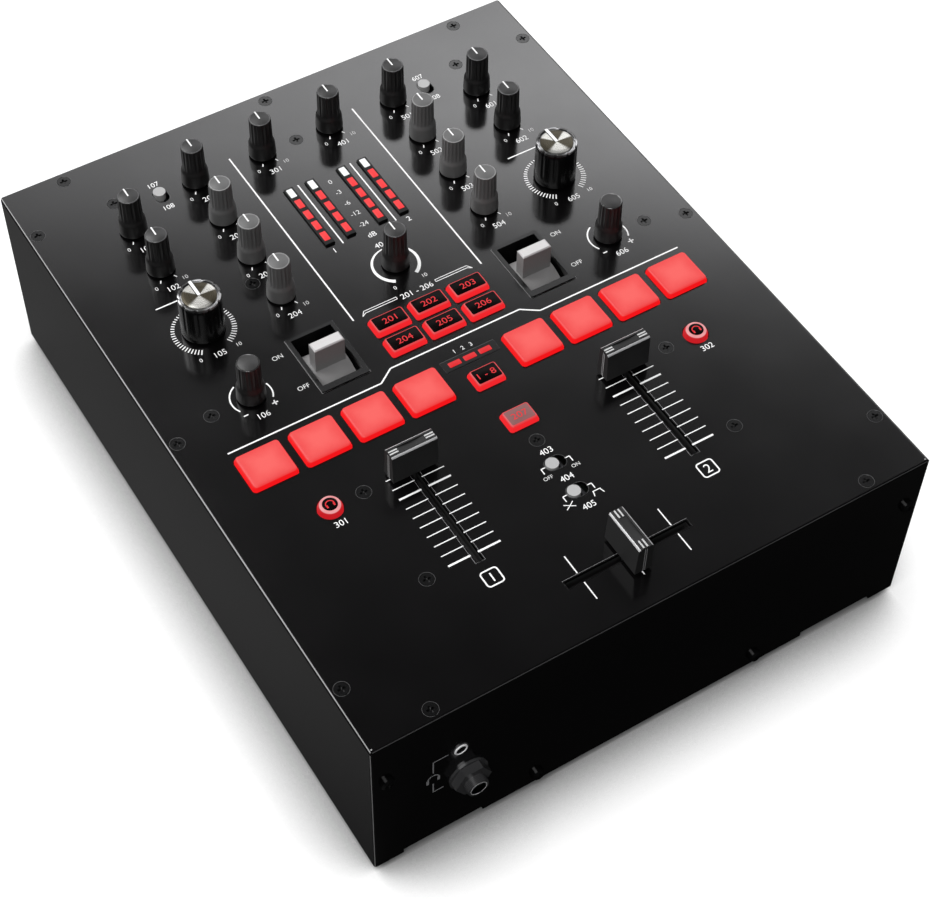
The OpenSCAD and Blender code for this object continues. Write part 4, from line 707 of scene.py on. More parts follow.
# %% Lit windows
LAMP_WHITE = lit("lamp_white", 1.4, 2.6, 1.4, (1, 1, 1), (0.95, 0.97, 0.97), (0.8, 0.85, 0.85), 1.0)
LAMP_RED = lit("lamp_red", 1.4, 2.6, 1.4, (1.0, 0.06, 0.065), (0.93, 0.04, 0.045), (0.7, 0.01, 0.015), 1.0)
METER = skinned("meter_bar", (0.0035, 0.0035, 0.0037), (0.35, 0.45), 0.3, 0.6, 0.15, 0.005, specular=0.15)
BAR_TOP = PANEL + 1.2
STEP_ROW = -20.8
tile = loft(box_rings([(2.9, 5.4, 0.35, -0.1), (2.8, 5.3, 0.35, 0.06), (2.6, 5.1, 0.3, 0.12)]))
tiles = []
for bar_x in (-18.2, -7.8, 7.8, 18.2):
    for row, y in enumerate((96.4, 89.1, 81.6, 74.3, 67.0)):
        tiles.append(move((*tile, 1 if row else 0), (bar_x, y, BAR_TOP)))
piece("meter_windows", tiles, [LAMP_WHITE, LAMP_RED], "case", (0, 81.6, PANEL))
step = block([(5.7, 2.7, 0.4, -0.6), (5.6, 2.6, 0.4, 0.05), (5.3, 2.3, 0.3, 0.12)], 0)
steps = [move(step, (x, STEP_ROW, PANEL)) for x in (-7.2, 0, 7.2)]
piece("step_windows", steps, [LAMP_RED], "case", (0, STEP_ROW, PANEL))
print(len(tiles) + len(steps), "lit windows made")

# %% [markdown]
# ## Fader caps
# A cap is one profile drawn across the travel and swept along its width. Between
# its two straight bevels the top is dished: its height at x is the chord height
# plus R - sqrt(R^2 - x^2). Down the middle of each long edge runs a thin pale
# line, a painted highlight, and two pairs of short bars give the fingertip its hold.

# %% Shape of a fader cap
# the pale finish paints a highlight down the middle of each rounded cap edge
CAP_PALE = skinned("cap_pale", (0.32, 0.32, 0.325), (0.3, 0.42), 0.25, 0.5, 0.08, 0.003, specular=0.6)
CAP = skinned("cap_black", (0.008, 0.008, 0.0082), (0.6, 0.7), 0.3, 0.4, 0.1, 0.005, specular=0.3)
CAP_MID = skinned("cap_middle", (0.009, 0.009, 0.0092), (0.45, 0.6), 0.3, 0.3, 0.08, 0.012, specular=0.2)
BAR_WHITE = skinned("cap_bar", (0.34, 0.34, 0.34), (0.3, 0.42), 0.2, 0.5, 0.08, 0.003)
CAP_TOP, CAP_SHOULDER, CAP_FOOT = 16.5, 15.2, 1.6
DISH_RADIUS = 40
HALF_STATIONS = [2, 4, 5.35, 5.45, 6.2, 7.5, 9, 10.05, 10.2]
STATIONS = [-x for x in reversed(HALF_STATIONS)] + [0] + HALF_STATIONS


def dish(x):
    """Height of the dished top at x: a circle whose lowest point is at 15.9."""
    return np.minimum(16.7, 15.9 + DISH_RADIUS - np.sqrt(DISH_RADIUS ** 2 - np.asarray(x, float) ** 2))


def cap_section(x, foot, crown):
    """Section across the cap at x, counter-clockwise as seen from +X: foot and crown
    are its depths below and above, and a quarter circle rounds each top edge."""
    inner = crown / 2 - 1.25
    bend = np.radians([0, 22, 45, 68, 90])
    out, up = inner + 1.25 * np.cos(bend), CAP_SHOULDER + (CAP_TOP - CAP_SHOULDER) * np.sin(bend)
    y = [-foot / 2, foot / 2, crown / 2 + 0.03, *out, inner - 0.3, inner - 0.36,
         -inner + 0.36, -inner + 0.3, *-out[::-1], -crown / 2 - 0.03]
    low = min(CAP_TOP - 0.12, float(dish(x)) - 0.15)
    z = [CAP_FOOT, CAP_FOOT, CAP_SHOULDER - 0.25, *up, CAP_TOP, low,
         low, CAP_TOP, *up[::-1], CAP_SHOULDER - 0.25]
    return np.stack([np.full(len(y), float(x)), y, z], 1)


print("a cap has", len(STATIONS), "sections of", len(cap_section(0, 7.2, 5.8)), "points")

# %% [markdown]
# A section's faces are marked one by one, so that the middle of each rounded edge
# is pale, a painted highlight, and the dish is a shade glossier than the sides. The
# crossfader's cap is the same one, turned by 90 degrees and a little deeper.

# %% Fader caps
BODY_MARK, CAP_PALE_MARK, DISH_MARK, WHITE_MARK = range(4)
# the two middle facets of each rounded edge take the pale finish, a painted highlight
ROUNDED = [DISH_MARK, CAP_PALE_MARK, CAP_PALE_MARK, DISH_MARK]
TOP_MARKS = [BODY_MARK] * 2 + [DISH_MARK] + [BODY_MARK] * 2
SECTION_MARKS = [BODY_MARK] * 3 + ROUNDED + TOP_MARKS + ROUNDED + [BODY_MARK] * 2


def end_lines(sx):
    """Two pale lines down the cap's end at side sx: flat strips stood upright."""
    heights = np.array([(0, 1.7, 0), (0, 9, 0), (0, 15.5, 0)])[::sx]
    flat, faces = strip(heights, 0.22, 0.05)
    return [(np.stack([sx * (10.18 + flat[:, 2]), row + flat[:, 0] * sx, flat[:, 1]], 1), faces, CAP_PALE_MARK)
            for row in (-0.42, 0.42)]


def grip_bars(sx, extra):
    """Two short bars along the dished top at side sx."""
    s = np.linspace(6.1, 9.9, 8)[::sx] * sx
    climb = np.minimum(dish(s), CAP_TOP - 0.1) - 0.02
    return [(*strip(np.stack([s, 0 * s + row, climb], 1), 0.62, 0.22), WHITE_MARK)
            for row in (-0.78 - extra / 4, 0.42 + extra / 4)]


def fader_cap(node, turn, extra=0.0):
    """The cap, its lever in the slot and the bars on its top."""
    rings = np.stack([cap_section(x, 7.2 + extra, 5.8 + extra) for x in STATIONS])
    rings[[0, -1], :, 1] *= 0.97
    parts = [(*loft(rings), SECTION_MARKS * (len(STATIONS) - 1) + [BODY_MARK] * 2)]
    for sx in (-1, 1):
        parts += grip_bars(sx, extra) + end_lines(sx)
    parts.append(block([(1.5, 5, 0.2, -9), (1.6, 5, 0.2, -8.8), (1.6, 5, 0.2, 1.7)], BODY_MARK))
    return twin(node, parts, [CAP, CAP_PALE, CAP_MID, BAR_WHITE], turn, crease=25)


for side in (1, 2):
    fader_cap(f"channel_fader_{side}", 0)
fader_cap("crossfader", -90, 0.9)
print("fader caps stand at", [tuple(round(v, 2) for v in spot(n)) for n in ("channel_fader_1", "crossfader")])

# %% [markdown]
# ## Printed marks
# Every line, arc and number stands on the panel as a thin raised film, about as
# thick as real screen ink looks at this scale. Positions were measured; the words
# of a maker are left out, and plain control numbers stand where captions go.

# %% Lines on the panel
INK = PANEL + 0.01
SIDES = (-1, 1)
FADER_X = 49.7
BRIGHT_MARK, SOFT_MARK = 0, 1
marks = []


def rule(points, width):
    """A straight or bent line through the points."""
    marks.append((*strip(line_path(points, INK), width), BRIGHT_MARK))


def caption(text, height, x, y, mark=BRIGHT_MARK):
    """Lettering with its middle at (x, y), a hair above the lines."""
    marks.append(words(text, height, (x, y, INK + 0.02), mark))


for sx in SIDES:
    rule([(31.0 * sx, 130), (31.0 * sx, 20.2)], 0.66)
    rule([(107.5 * sx, -14.6), (38 * sx, -14.6)], 0.66)
    rule([(38 * sx, -14.6), (30.9 * sx, -9.7)], 0.66)
    rule([(13.0 * sx, 100.5), (13.0 * sx, 60.3)], 0.6)
    rule([(86 * sx - 12, 67.3), (86 * sx + 12, 67.3)], 0.6)
    for i in range(10):
        y = -58.1 - 5.18 * i
        width = 0.85 if i in (2, 9) else 0.42
        rule([(FADER_X * sx - 11.7, y), (FADER_X * sx - 1.8, y)], width)
        rule([(FADER_X * sx + 1.5, y), (FADER_X * sx + 11.6, y)], width)
rule([(-30.9, -9.7), (30.9, -9.7)], 0.66)
for x in (-21.4, 0, 21.6):
    rule([(x, -123.4), (x, -132.4)], 0.5)
    rule([(x, -137.0), (x, -145.8)], 0.5)
print(len(marks), "lines laid")

# %% [markdown]
# Round each dial there are two slanted ticks, an end number on each side and a
# control number below. The filter dials have a ring of ticks that grow toward its
# ends, and the effect dial an open ring that swells the same way, which is a strip
# whose width follows the angle.

# %% Dials
columns = (("tone_knob", "mic_knob"), ("gain_knob_1", "treble_knob_1", "mid_knob_1", "bass_knob_1"),
           ("booth_knob",), ("master_knob",), ("gain_knob_2", "treble_knob_2", "mid_knob_2", "bass_knob_2"),
           ("cue_mix_knob", "cue_gain_knob"))
dials = {node: f"{c}0{r}" for c, names in enumerate(columns, 1) for r, node in enumerate(names, 1)}
for node, number in dials.items():
    x, y = spot(node)
    for sx in SIDES:
        dx, dy = np.array([3.3 * sx, -6.4]) / 7.2
        rule([(x + 6.7 * dx, y + 6.7 * dy), (x + 8.3 * dx, y + 8.3 * dy)], 0.5)
    caption("0", 2.0, x - 6.6, y - 9.2, SOFT_MARK)
    caption("10", 2.0, x + 6.8, y - 9.2, SOFT_MARK)
    caption(number, 2.8, x, y - 12.1)
for side, filter_number, loop_number in ((1, "105", "106"), (2, "605", "606")):
    x, y = spot(f"filter_knob_{side}")
    for away in np.arange(-150, 151, 6.0):
        a, half = math.radians(90 - away), 0.45 + 0.85 * abs(away) / 150
        rule([(x + r * math.cos(a), y + r * math.sin(a)) for r in (12.7 - half, 12.7 + half)], 0.45)
    caption("0", 1.9, x - 8.6, y - 14.6)
    caption("10", 1.9, x + 8.8, y - 14.6)
    caption(filter_number, 2.8, x, y - 15.2)
    x, y = spot(f"loop_knob_{side}")
    for start, end in ((116, 212), (20, -32)):
        marks.append((*strip(arc_path(x, y, 8.75, start, end, INK), 0.62), BRIGHT_MARK))
    rule([(x - 7.4, y - 7.55), (x - 5.4, y - 7.55)], 0.55)
    rule([(x + 5.4, y - 7.55), (x + 8.0, y - 7.55)], 0.6)
    rule([(x + 6.7, y - 6.25), (x + 6.7, y - 8.85)], 0.6)
    caption(loop_number, 2.8, x, y - 10.8)
x, y = spot("fx_knob")
swell = 0.4 + 1.2 * np.abs(np.linspace(-1, 1, 80)) ** 0.7
marks.append((*strip(arc_path(x, y, 10.0, 240, -60, INK, 80), swell), BRIGHT_MARK))
caption("0", 1.9, x - 7.1, y - 11.7)
caption("10", 1.9, x + 7.3, y - 11.7)
caption("401", 2.8, x, y + 12.8)
print(len(dials), "dials numbered")

# %% [markdown]
# What is left are the meters' scale, plain numbers and ON and OFF by the switches,
# a framed channel number below each fader, the bracket over the effect keys and
# the small signs of the two fader curves.

# %% Numbers and signs
captions = [("0", 2, 0, 94.9), ("-3", 2, 0, 87.7), ("-6", 2, 0, 80.1), ("-12", 2, 0, 73), ("-24", 2, 0, 65.8),
            ("1", 2.2, -18.2, 58.6), ("2", 2.2, 18.2, 58.6), ("dB", 2.2, 0, 58.6),
            ("107", 2.1, -66.6, 132.6), ("108", 2.1, -66.6, 117.5), ("607", 2.1, 66.6, 132.6),
            ("608", 2.1, 66.6, 117.5), ("403", 2.3, 0, -77.6), ("OFF", 1.4, -6.4, -89.2),
            ("ON", 1.4, 6.4, -89.2), ("404", 2.3, 0, -92.6), ("405", 2.3, 0, -108.2),
            ("1   2   3", 1.7, 0, -15.3), ("201 - 206", 2.3, 0, 21.25), ("ON", 1.8, -67.3, 18.9),
            ("ON", 1.8, 67.3, 18.9),
            ("OFF", 1.8, -65.7, -0.2), ("OFF", 1.8, 65.7, -0.2), ("301", 2.3, -86, -66.3),
            ("302", 2.3, 86, -66.3)]
CAPITAL = 1.22  # height of a capital for a caption's size of 1
SMALL_PRINT = 2.05
for text, size, x, y in captions:
    caption(text, size * CAPITAL, x, y, SOFT_MARK if size < SMALL_PRINT else BRIGHT_MARK)
for sx, digit in zip(SIDES, "12"):
    frame_ring = box_rings([(7.2, 7.2, 1.3, INK)], 8)[0] + np.array([FADER_X * sx, -117.3, 0])
    marks.append((*strip(np.concatenate([frame_ring, frame_ring[:2]]), 0.62), BRIGHT_MARK))
    caption(digit, 4.2, FADER_X * sx, -117.3)
for y in (-84.3, -99.8):
    for sx in SIDES:
        rule([(4.6 * sx, y), (6.6 * sx, y)], 0.45)
        rule([(6.6 * sx, y), (6.6 * sx, y - 2.7)], 0.45)
bracket = [(26.6, 20.1), (24.9, 22.5), (9.4, 22.5), (9.4, 21.3), (24.6, 21.3), (26.6, 20.1)]
for sx in SIDES:
    for (x0, y0), (x1, y1) in zip(bracket, bracket[1:]):
        rule([(x0 * sx, y0), (x1 * sx, y1)], 0.3)
    rule([(-6.5 - 2.1 * sx, -105.9), (-6.5 - 0.6 * sx, -105.1)], 0.36)
    rule([(-6.5 - 0.6 * sx, -105.1), (-6.5 + 2.1 * sx, -103.3)], 0.36)
    rule([(6.5 + 2.2 * sx, -105.9), (6.5 + 1.5 * sx, -103.6)], 0.4)
rule([(4.6, -103.6), (8.4, -103.6)], 0.4)
piece("panel_print", marks, [PRINT, PRINT_SOFT], "case", (0, 0, PANEL), crease=80)
print("panel print has", len(marks), "shapes")

# %% [markdown]
# Where a hole or a sunk part meets the paint, the edge catches a hairline of light.
# These painted highlights are strips too, most of them a seventh of a millimetre
# wide: a ring round each screw, a loop round each slot and each paddle's frame.

# %% Painted edge highlights
# pale strips laid over the paint: painted highlights where edges catch light
EDGE = skinned("dim_edge_highlight", (0.03, 0.03, 0.0305), (0.3, 0.4), 0.2, 0.5, 0.1, 0.003)
SLOT_EDGE = skinned("slot_edge_highlight", (0.13, 0.13, 0.132), (0.3, 0.4), 0.2, 0.5, 0.1, 0.003)
EDGE_PALE = skinned("pale_edge_highlight", (0.2, 0.2, 0.2), (0.3, 0.4), 0.2, 0.5, 0.1, 0.003)
DARK_MARK, SLOT_MARK, PALE_MARK = range(3)
edges = []


def hairline(points, mark=DARK_MARK, width=0.14):
    """A closed loop of fine strip through the points."""
    path = line_path(points, INK)
    edges.append((*strip(np.concatenate([path, path[:2]]), width), mark))


def slot_loop(x, y, half_x, half_y):
    """Corners of a rectangle round (x, y)."""
    return [(x + sx * half_x, y + sy * half_y) for sx, sy in ((-1, -1), (1, -1), (1, 1), (-1, 1))]


def round_loop(x, y, reach, r, along_y=False):
    """Two half circles r wide whose middles are reach either side of (x, y)."""
    a = np.radians(np.concatenate([np.linspace(-90, 90, 17), np.linspace(90, 270, 17)]))
    u, v = np.repeat([reach, -reach], 17) + r * np.cos(a), r * np.sin(a)
    return np.column_stack([x - v, y + u] if along_y else [x + u, y + v])[:-1]


lid_screws = [(sx * 99, 154.35) for sx in (-1, 0, 1)] + [(sx * 99, -154.35) for sx in SIDES]
lid_screws += [(sx * 122.1, sy * 130.5) for sx in SIDES for sy in (-1, 0, 1)]
inner_screws = ((86.2, 131.2), (104.2, 5.6), (56.9, 59.7), (71.2, -58.1), (71.2, -105.5))
lid_screws += [(sx * x, y) for x, y in inner_screws for sx in SIDES] + [(0, 125.5), (0, -71.2)]
for x, y in lid_screws:
    hairline(round_loop(x, y, 0, 3.15))
frame_low, frame_high = (np.array(v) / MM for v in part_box("toggle_bezels"))
frame_half = (frame_high[1] - frame_low[1]) / 2 + 0.12
fader_middle = spot("channel_fader_1")[1] - 22.5
for sx in SIDES:
    hairline(slot_loop(FADER_X * sx, fader_middle, 2.15, 28.5), SLOT_MARK)
    hairline(slot_loop(FADER_X * sx, (frame_low[1] + frame_high[1]) / 2, 11.2, frame_half), SLOT_MARK, 0.22)
    hairline(round_loop(66.6 * sx, 125.4, 1.5, 3.3, True))
hairline(slot_loop(0, spot("crossfader")[1], 28.5, 2.15), SLOT_MARK)
hairline(slot_loop(0, STEP_ROW, 12.8, 2.9), DARK_MARK, 0.2)
for y in (-84.3, -99.8):
    hairline(round_loop(0, y, 1.5, 3.3))
print(len(edges), "bare edges drawn")

# %% [markdown]
# The folds of the lid get painted highlights in the same way. One strip leans at 45
# degrees along the front fold and one runs up the left front corner; a pale dot, a
# painted highlight, shows at each front corner of the top.

# %% Painted highlights on the folds
FOLD = 0.30  # how far in from the sharp edge a strip's middle lies
LEAN = 0.707  # cosine of 45 degrees
lid_low, lid_high = (np.array(v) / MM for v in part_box("top_cover"))


def fold_strip(start, end):
    """A strip turned by 45 degrees about its length: the places of its points along
    the fold, behind it and out from it, and its faces."""
    points, faces = strip(line_path([(start, 0), (end, 0)], 0), 0.34, 0.02)
    along, wide, thick = points.T
    return along, LEAN * wide - LEAN * thick, LEAN * wide + LEAN * thick, faces


# the fold strips and corner dots are painted highlights along the lid's edges
along, behind, out, faces = fold_strip(lid_low[0] + 1.2, lid_high[0] - 1.2)
edges.append((np.stack([along, lid_low[1] + FOLD + behind, PANEL - FOLD + out], 1), faces, DARK_MARK))
along, behind, out, faces = fold_strip(lid_low[2] + 0.2, PANEL - 1.4)
edges.append((np.stack([lid_low[0] + FOLD - out, lid_low[1] + FOLD + behind, along], 1), faces, PALE_MARK))
dot = turned([(0.32, 0.0), (0.32, 0.03), (0.2, 0.05)], PALE_MARK, 16)
edges += [move(dot, (sx * (lid_high[0] - 1.5), lid_low[1] + 1.5, PANEL)) for sx in SIDES]
piece("edge_highlight_strips", edges, [EDGE, SLOT_EDGE, EDGE_PALE], "case", (0, 0, PANEL), crease=80)
print(len(edges), "hairlines in all")

# %% [markdown]
# ## Front wall
# The front wall carries two headphone sockets with a small printed bracket that
# ties them to a headphone sign. The same strips serve, stood upright.

# %% Front print
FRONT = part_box("top_cover")[0].y / MM
FILM = 0.01


def stand(part):
    """Stands a flat part up against the front wall: its Y becomes height."""
    points, faces, mark = part
    return np.stack([points[:, 0], FRONT - points[:, 2], points[:, 1]], 1), faces, mark


bracket_lines = [[(-100.8, 62), (-100.8, 54)], [(-100.8, 46), (-100.8, 39.4)],
                 [(-100.8, 61.75), (-94.3, 61.75)], [(-100.8, 39.65), (-96.3, 39.65)]]
ear_cups = [[(x, 49.8), (x, 47.2)] for x in (-103.2, -98.4)]
wall = [strip(line_path(line, FILM), 0.5) for line in bracket_lines]
wall.append(strip(arc_path(-100.8, 49.6, 2.4, 0, 180, FILM), 0.5))
wall += [strip(line_path(line, FILM), 1.1) for line in ear_cups]
piece("front_print", [stand((*shape, 0)) for shape in wall], [PRINT_DIM], "case", (-100, FRONT, 50),
      crease=80)
print("front print laid on y =", round(FRONT, 2))

# %% [markdown]
# The large socket's barrel carries a thread. A sleeve turned round the barrel
# has a radius that rises and falls once per pitch; a pale ring sits round the
# small socket's hole and a hairline round the large one's.

# %% Socket thread and rings
NICKEL = skinned("black_nickel", (0.055, 0.055, 0.057), (0.14, 0.24), 0.3, 0.5, 0.1, 0.004, metal=0.35,
                 specular=0.8)
BRIGHT = skinned("socket_ring", (0.75, 0.75, 0.76), (0.2, 0.3), 0.2, 0.5, 0.1, 0.003)
PITCH, TURNS = 0.62, 5
thread = [(4.52, 4.5)]
for k in range(TURNS):
    thread += [(r, z + PITCH * k) for r, z in ((4.52, 4.6), (4.7, 4.8), (4.7, 4.92), (4.52, 5.12))]
thread += [(4.52, 7.75), (4.3, 8.04), (3.55, 8.04), (3.3, 7.9), (3.2, 7.0), (3.2, -4.0)]
lip = [(3.6, 8.0), (3.6, 8.08), (3.42, 8.08), (3.42, 8.0)]
ring = [(2.9, 0.2), (2.9, 0.5), (2.7, 0.72), (2.3, 0.76), (2.1, 0.6), (2.05, 0.5)]
bore = [(2.08, 0.52), (1.9, 0.3), (1.78, 0.1), (1.76, -4.0)]
LARGE_SOCKET, SMALL_SOCKET = (-85.5, 40.5, 0), (-89.0, 61.4, 0)
metal_parts = [(turned(thread, 0), LARGE_SOCKET), (turned(lip, 1), LARGE_SOCKET),
               (turned(ring, 1, 48), SMALL_SOCKET), (turned(bore, 2, 48), SMALL_SOCKET)]
piece("socket_metal", [stand(move(part, place)) for part, place in metal_parts], [NICKEL, BRIGHT, GLOSS],
      "case", (-87, FRONT, 50))
print("a thread of", TURNS, "turns cut")

# %% [markdown]
# ## Finishes for the CAD nodes
# Pieces that need no finer twin, such as the case, the feet and the boards, are
# shown as they are and only take a material. A paddle's tint follows the height:
# painted shade low down, where it dips into its frame, and a painted highlight on
# its top.

# %% Paddle finish
# heights in mm: painted shade below the first, a painted highlight above the second
SHADED_UP_TO, LIT_FROM = 100.4, 101.3


def height_on_object(tree):
    """The point's height on the object, in millimetres."""
    return math_node(tree, "MULTIPLY", add(tree, "SeparateXYZ", Vector=object_place(tree)).outputs[2], 1 / MM)


def paddle_painted_shading(tree):
    """Painted shade up to one height and a painted highlight from another, blended between; not metal."""
    # the blend from painted shade to painted highlight
    raised = between(tree, height_on_object(tree), SHADED_UP_TO, LIT_FROM)
    return blend_node(tree, raised, (0.15, 0.147, 0.147), (0.36, 0.352, 0.352)), 0.0


PADDLE = skinned("paddle_grey", paddle_painted_shading, (0.3, 0.4), 0.15, 0.5, 0.1, 0.004)
print("the paddles turn pale over", round(LIT_FROM - SHADED_UP_TO, 1), "mm")

# %% [markdown]
# The rear connectors are one node of many stuffs. A small group tells whether a
# point lies inside a box; one box per stuff then picks its colour and whether it
# is metal. Everything outside the boxes is black plastic.

# %% Connector finish
zone, zi, zo = new_group("zone", [("Vector", "Vector"), ("Low", "Vector"), ("High", "Vector")],
                         [("Inside", "Float")])
place, lowest, highest = (add(zone, "SeparateXYZ", Vector=zi[key]).outputs
                          for key in ("Vector", "Low", "High"))
inside = 1.0
for axis in range(3):
    at = math_node(zone, "MULTIPLY", place[axis], 1 / MM)
    above = math_node(zone, "GREATER_THAN", at, lowest[axis])
    below = math_node(zone, "LESS_THAN", at, highest[axis])
    inside = math_node(zone, "MULTIPLY", inside, math_node(zone, "MULTIPLY", above, below))
put(zo["Inside"], inside)
STEEL, BRASS, RED = (0.55, 0.55, 0.56), (0.6, 0.48, 0.28), (0.4, 0.015, 0.015)
WHITE, BLACK = (0.6, 0.6, 0.58), (0.006, 0.006, 0.006)
METALLIC = 0.9
zones = [((-112, 158.6, 20), (-43, 170, 70), STEEL, METALLIC),
         ((-112, 158.6, 46), (-43, 160.35, 70), WHITE, 0.0),
         ((-112, 158.6, 20), (-43, 160.35, 46), RED, 0.0),
         ((-122, 150, 20), (-112.5, 170, 40), BRASS, METALLIC),
         ((2.8, 143.8, 41.8), (13.2, 156.9, 50.5), BRASS, METALLIC),
         ((32.8, 143.8, 41.8), (43.2, 156.9, 50.5), BRASS, METALLIC),
         ((59.9, 142, 26.5), (72.1, 160, 37.6), STEEL, METALLIC),
         ((63.1, 146.9, 30.3), (68.9, 157.8, 33.7), BLACK, 0.0),
         ((89.9, 142.8, 29.9), (106.1, 154.9, 38.1), STEEL, METALLIC)]


def connector_tint(tree):
    """Black plastic, over which each box lays its own colour and metal."""
    colour, metal = (0.005, 0.005, 0.0052), 0.0
    for low, high, tint, metallic in zones:
        inside = group_node(tree, zone, Vector=object_place(tree), Low=low, High=high)["Inside"]
        colour = blend_node(tree, inside, colour, tint)
        metal = math_node(tree, "MULTIPLY_ADD", inside, math_node(tree, "SUBTRACT", metallic, metal), metal)
    return colour, metal


CONNECTOR = skinned("connector", connector_tint, (0.25, 0.4), 0.3, 0.8, 0.18, 0.004)
print(len(zones), "boxes sort the connectors")

# %% [markdown]
# Every CAD node gets a material in each of its slots. The knobs, keys and caps are
# hidden behind their finer twins, so for them any finish would do.

# %% Dress the CAD nodes
dress = {"top_cover": CASE, "base_tray": TRAY, "feet": RUBBER, "screws": SCREW, "control_board": BOARD,
         "main_board": BOARD, "power_supply": COMPONENT, "control_bodies": COMPONENT,
         "fader_bodies": FADER_METAL, "toggle_bezels": BEZEL, "led_indicators": METER,
         "headphone_jacks": NICKEL, "rear_connectors": CONNECTOR, "power_rocker": ROCKER,
         "fx_paddle_1": PADDLE, "fx_paddle_2": PADDLE, "line_switch_1": SWITCH, "line_switch_2": SWITCH,
         "reverse_switch": SWITCH, "slope_switch": SWITCH}
for name, obj in nodes.items():
    finish = dress.get(name, KNOB)
    if not obj.data.materials:
        obj.data.materials.append(finish)
    for index in range(len(obj.data.materials)):
        obj.data.materials[index] = finish
print("dressed", len(nodes), "CAD nodes")

# %% [markdown]
# ## Stage, camera and light
# The mixer stands on a plain pale floor. To the camera it glows white, and near the
# case ambient occlusion dims the glow: a painted soft shadow under the case. The coat
# mirrors the floor as dim cards instead, a paler one on the left and a dark one in
# front, so that the two side walls differ.

# %% Floor
floor_mesh = bpy.data.meshes.new("floor")
floor_mesh.from_pydata([(-9, -9, 0), (9, -9, 0), (9, 9, 0), (-9, 9, 0)], [], [(0, 1, 2, 3)])
floor = bpy.data.objects.new("floor", floor_mesh)
bpy.context.scene.collection.objects.link(floor)
cards, ci, co = new_group("cards", [("Vector", "Vector"), ("Left", "Color", (0.05, 0.05, 0.05, 1)),
                                    ("Front", "Color", (0.012, 0.012, 0.012, 1))], [("Color", "Color")])
floor_x, floor_y = add(cards, "SeparateXYZ", Vector=ci["Vector"]).outputs[:2]
slanted = math_node(cards, "MULTIPLY", math_node(cards, "ADD", floor_y, 0.16), -0.35)
toward_front = between(cards, math_node(cards, "ADD", floor_x, slanted), -0.2, -0.1)
put(co["Color"], blend_node(cards, toward_front, ci["Left"], ci["Front"]))
FLOOR, tree, shader = material("floor")
grey = group_node(tree, skin, Vector=object_place(tree), Tint=(0.16, 0.16, 0.16), Spread=0.02, Rough_Low=0.8,
                  Rough_High=0.95, Patch_Size=600.0, Peel_Size=8.0, Grain_Size=2.0)
rays = add(tree, "LightPath").outputs
seen = math_node(tree, "MAXIMUM", rays["Is Camera Ray"], rays["Is Transmission Ray"])
card = group_node(tree, cards, Vector=object_place(tree))["Color"]
# ambient occlusion dims the camera's white glow near the case: a painted contact shadow
crevice = add(tree, "AmbientOcclusion", {"samples": 16}, Distance=0.045)
open_sky = between(tree, crevice.outputs["AO"], 0.38, 0.95)
glow = math_node(tree, "MULTIPLY", seen, math_node(tree, "MULTIPLY", open_sky, 0.93))
set_shader(shader, Base_Color=blend_node(tree, seen, card, grey["Color"]), Roughness=grey["Roughness"],
           Specular_IOR_Level=0.0, Emission_Color=(1.0, 1.0, 1.0), Emission_Strength=glow)
floor_mesh.materials.append(FLOOR)
print("floor laid")

# %% [markdown]
# The camera's place, turn and lens were solved from the outline of the case, so
# that every edge falls where the eye expects it.

# %% Camera
lens = bpy.data.cameras.new("camera")
lens.lens, lens.sensor_width, lens.sensor_fit = 81.373, 36.0, "HORIZONTAL"
lens.clip_start, lens.clip_end = 0.05, 60
camera = bpy.data.objects.new("camera", lens)
bpy.context.scene.collection.objects.link(camera)
CAMERA_PLACE = (-0.29863556, -0.48662861, 0.74512864)
CAMERA_TURN = Matrix(((0.8515585, 0.40796774, -0.32925742), (-0.52410263, 0.67783395, -0.51561378),
                      (0.01282807, 0.61163997, 0.79103223)))
camera.matrix_world = Matrix.Translation(CAMERA_PLACE) @ CAMERA_TURN.to_4x4()
bpy.context.scene.camera = camera
print("camera stands", round(camera.location.length, 3), "m from the middle of the base")

# %% [markdown]
# A black coat shows mostly what it mirrors, so the room matters more than the
# lamps. Behind the mixer stands a window of light: it grows brighter up to some
# 45 degrees above the horizon, ends there, and all is dark overhead. The panel
# mirrors it from grey at the rear to near black at the front. Everywhere else the
# room is dim. Two lamps, a soft key from the rear left and a fill from the front
# left, shape the knobs and keys.

# %% Light
def area_light(name, at, target, width, height, power):
    """A rectangular lamp at a place, facing a target."""
    data = bpy.data.lights.new(name, "AREA")
    data.shape, data.size, data.size_y, data.energy = "RECTANGLE", width, height, power
    obj = bpy.data.objects.new(name, data)
    bpy.context.scene.collection.objects.link(obj)
    facing = (Vector(at) - Vector(target)).to_track_quat("Z", "Y")
    obj.matrix_world = Matrix.Translation(at) @ facing.to_matrix().to_4x4()
    return obj


MIXER = (0, 0, 0.05)
lamps = [area_light("key", (-0.95, 1.35, 1.9), MIXER, 2.0, 1.6, 100),
         area_light("front", (-0.92, -1.1, 2.05), MIXER, 1.3, 1.3, 50)]
print("lamps:", [obj.name for obj in lamps])

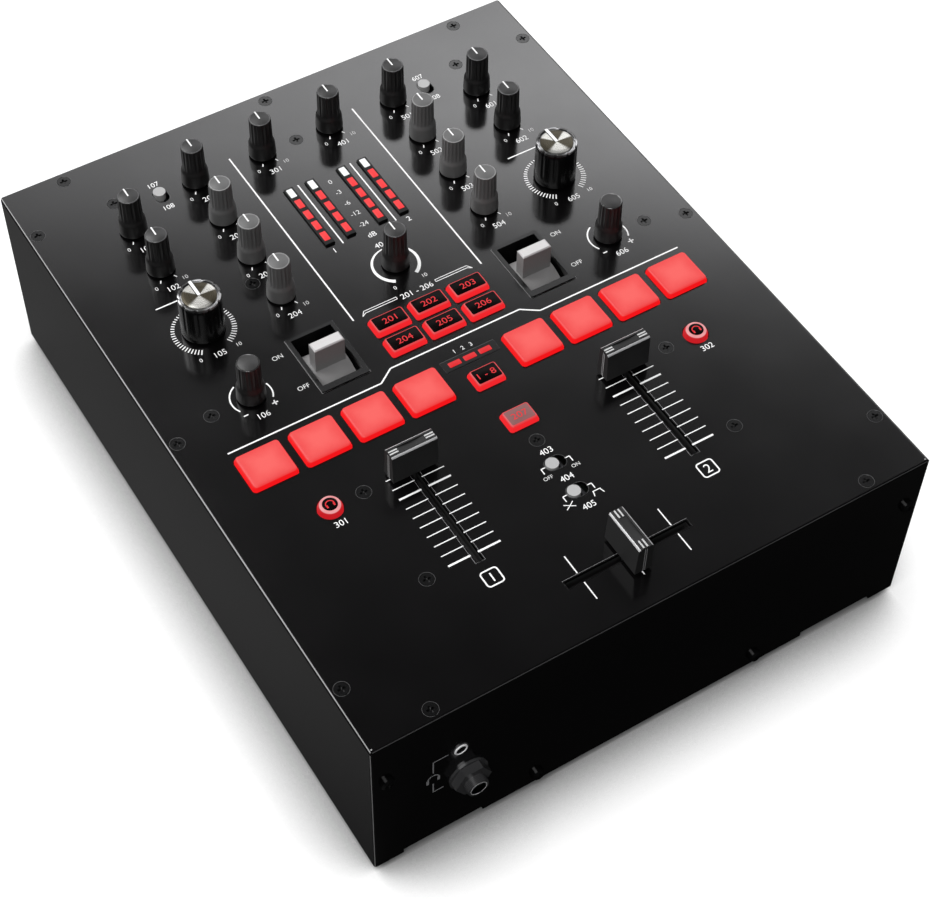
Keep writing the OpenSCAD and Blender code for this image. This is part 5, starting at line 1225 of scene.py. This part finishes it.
# %% [markdown]
# The room is the world's colour by direction. A ramp over the height gives the
# window its steps of light, and two soft masks bound it to the part of the room
# behind the mixer. The camera itself sees plain white.

# %% Room
world = bpy.data.worlds.new("room")
bpy.context.scene.world = world
world.use_nodes = True
tree = world.node_tree
tree.nodes.clear()
DIM = (0.035, 0.035, 0.036)
WINDOW_LIGHT = (6.2, 6.2, 6.28, 1)
stops = [(0.0, 0.035), (0.3, 0.1), (0.5, 0.34), (0.6, 0.5), (0.64, 0.62), (0.66, 1.0), (0.7, 0.93),
         (0.715, 0.27), (0.73, 0.035), (0.75, 0.04), (0.78, 0.024), (0.81, 0.022), (0.86, 0.003),
         (1.0, 0.002)]
direction = add(tree, "TexCoord").outputs["Generated"]
way_x, way_y, way_up = add(tree, "SeparateXYZ", Vector=direction).outputs
ramp = tree.nodes.new("ShaderNodeValToRGB")
while len(ramp.color_ramp.elements) < len(stops):
    ramp.color_ramp.elements.new(0.5)
for element, (at, value) in zip(ramp.color_ramp.elements, stops):
    element.position = at
for element, (at, value) in zip(ramp.color_ramp.elements, stops):
    element.color = (value, value, value, 1)
put(ramp.inputs[0], way_up)
sky = add(tree, "MixRGB", {"blend_type": "MULTIPLY"}, Fac=1.0, Color1=ramp.outputs[0], Color2=WINDOW_LIGHT)
behind = math_node(tree, "MULTIPLY_ADD", way_x, 0.5, math_node(tree, "MULTIPLY", way_y, 0.866))
across = math_node(tree, "MULTIPLY_ADD", way_x, 0.866, math_node(tree, "MULTIPLY", way_y, -0.5))
window = math_node(tree, "MULTIPLY", between(tree, behind, 0.2, 0.55), between(tree, across, -0.4, 0.1))
back = add(tree, "Background", Color=blend_node(tree, window, DIM, sky.outputs[0]), Strength=1.0)
white = add(tree, "Background", Color=(1.0, 1.0, 1.0), Strength=1.0)
choose = add(tree, "MixShader", Fac=add(tree, "LightPath").outputs["Is Camera Ray"], i1=back.outputs[0],
             i2=white.outputs[0])
put(add(tree, "OutputWorld").inputs[0], choose.outputs[0])
bpy.context.scene.view_settings.view_transform = "Standard"
print("the room's window has", len(stops), "steps of light")
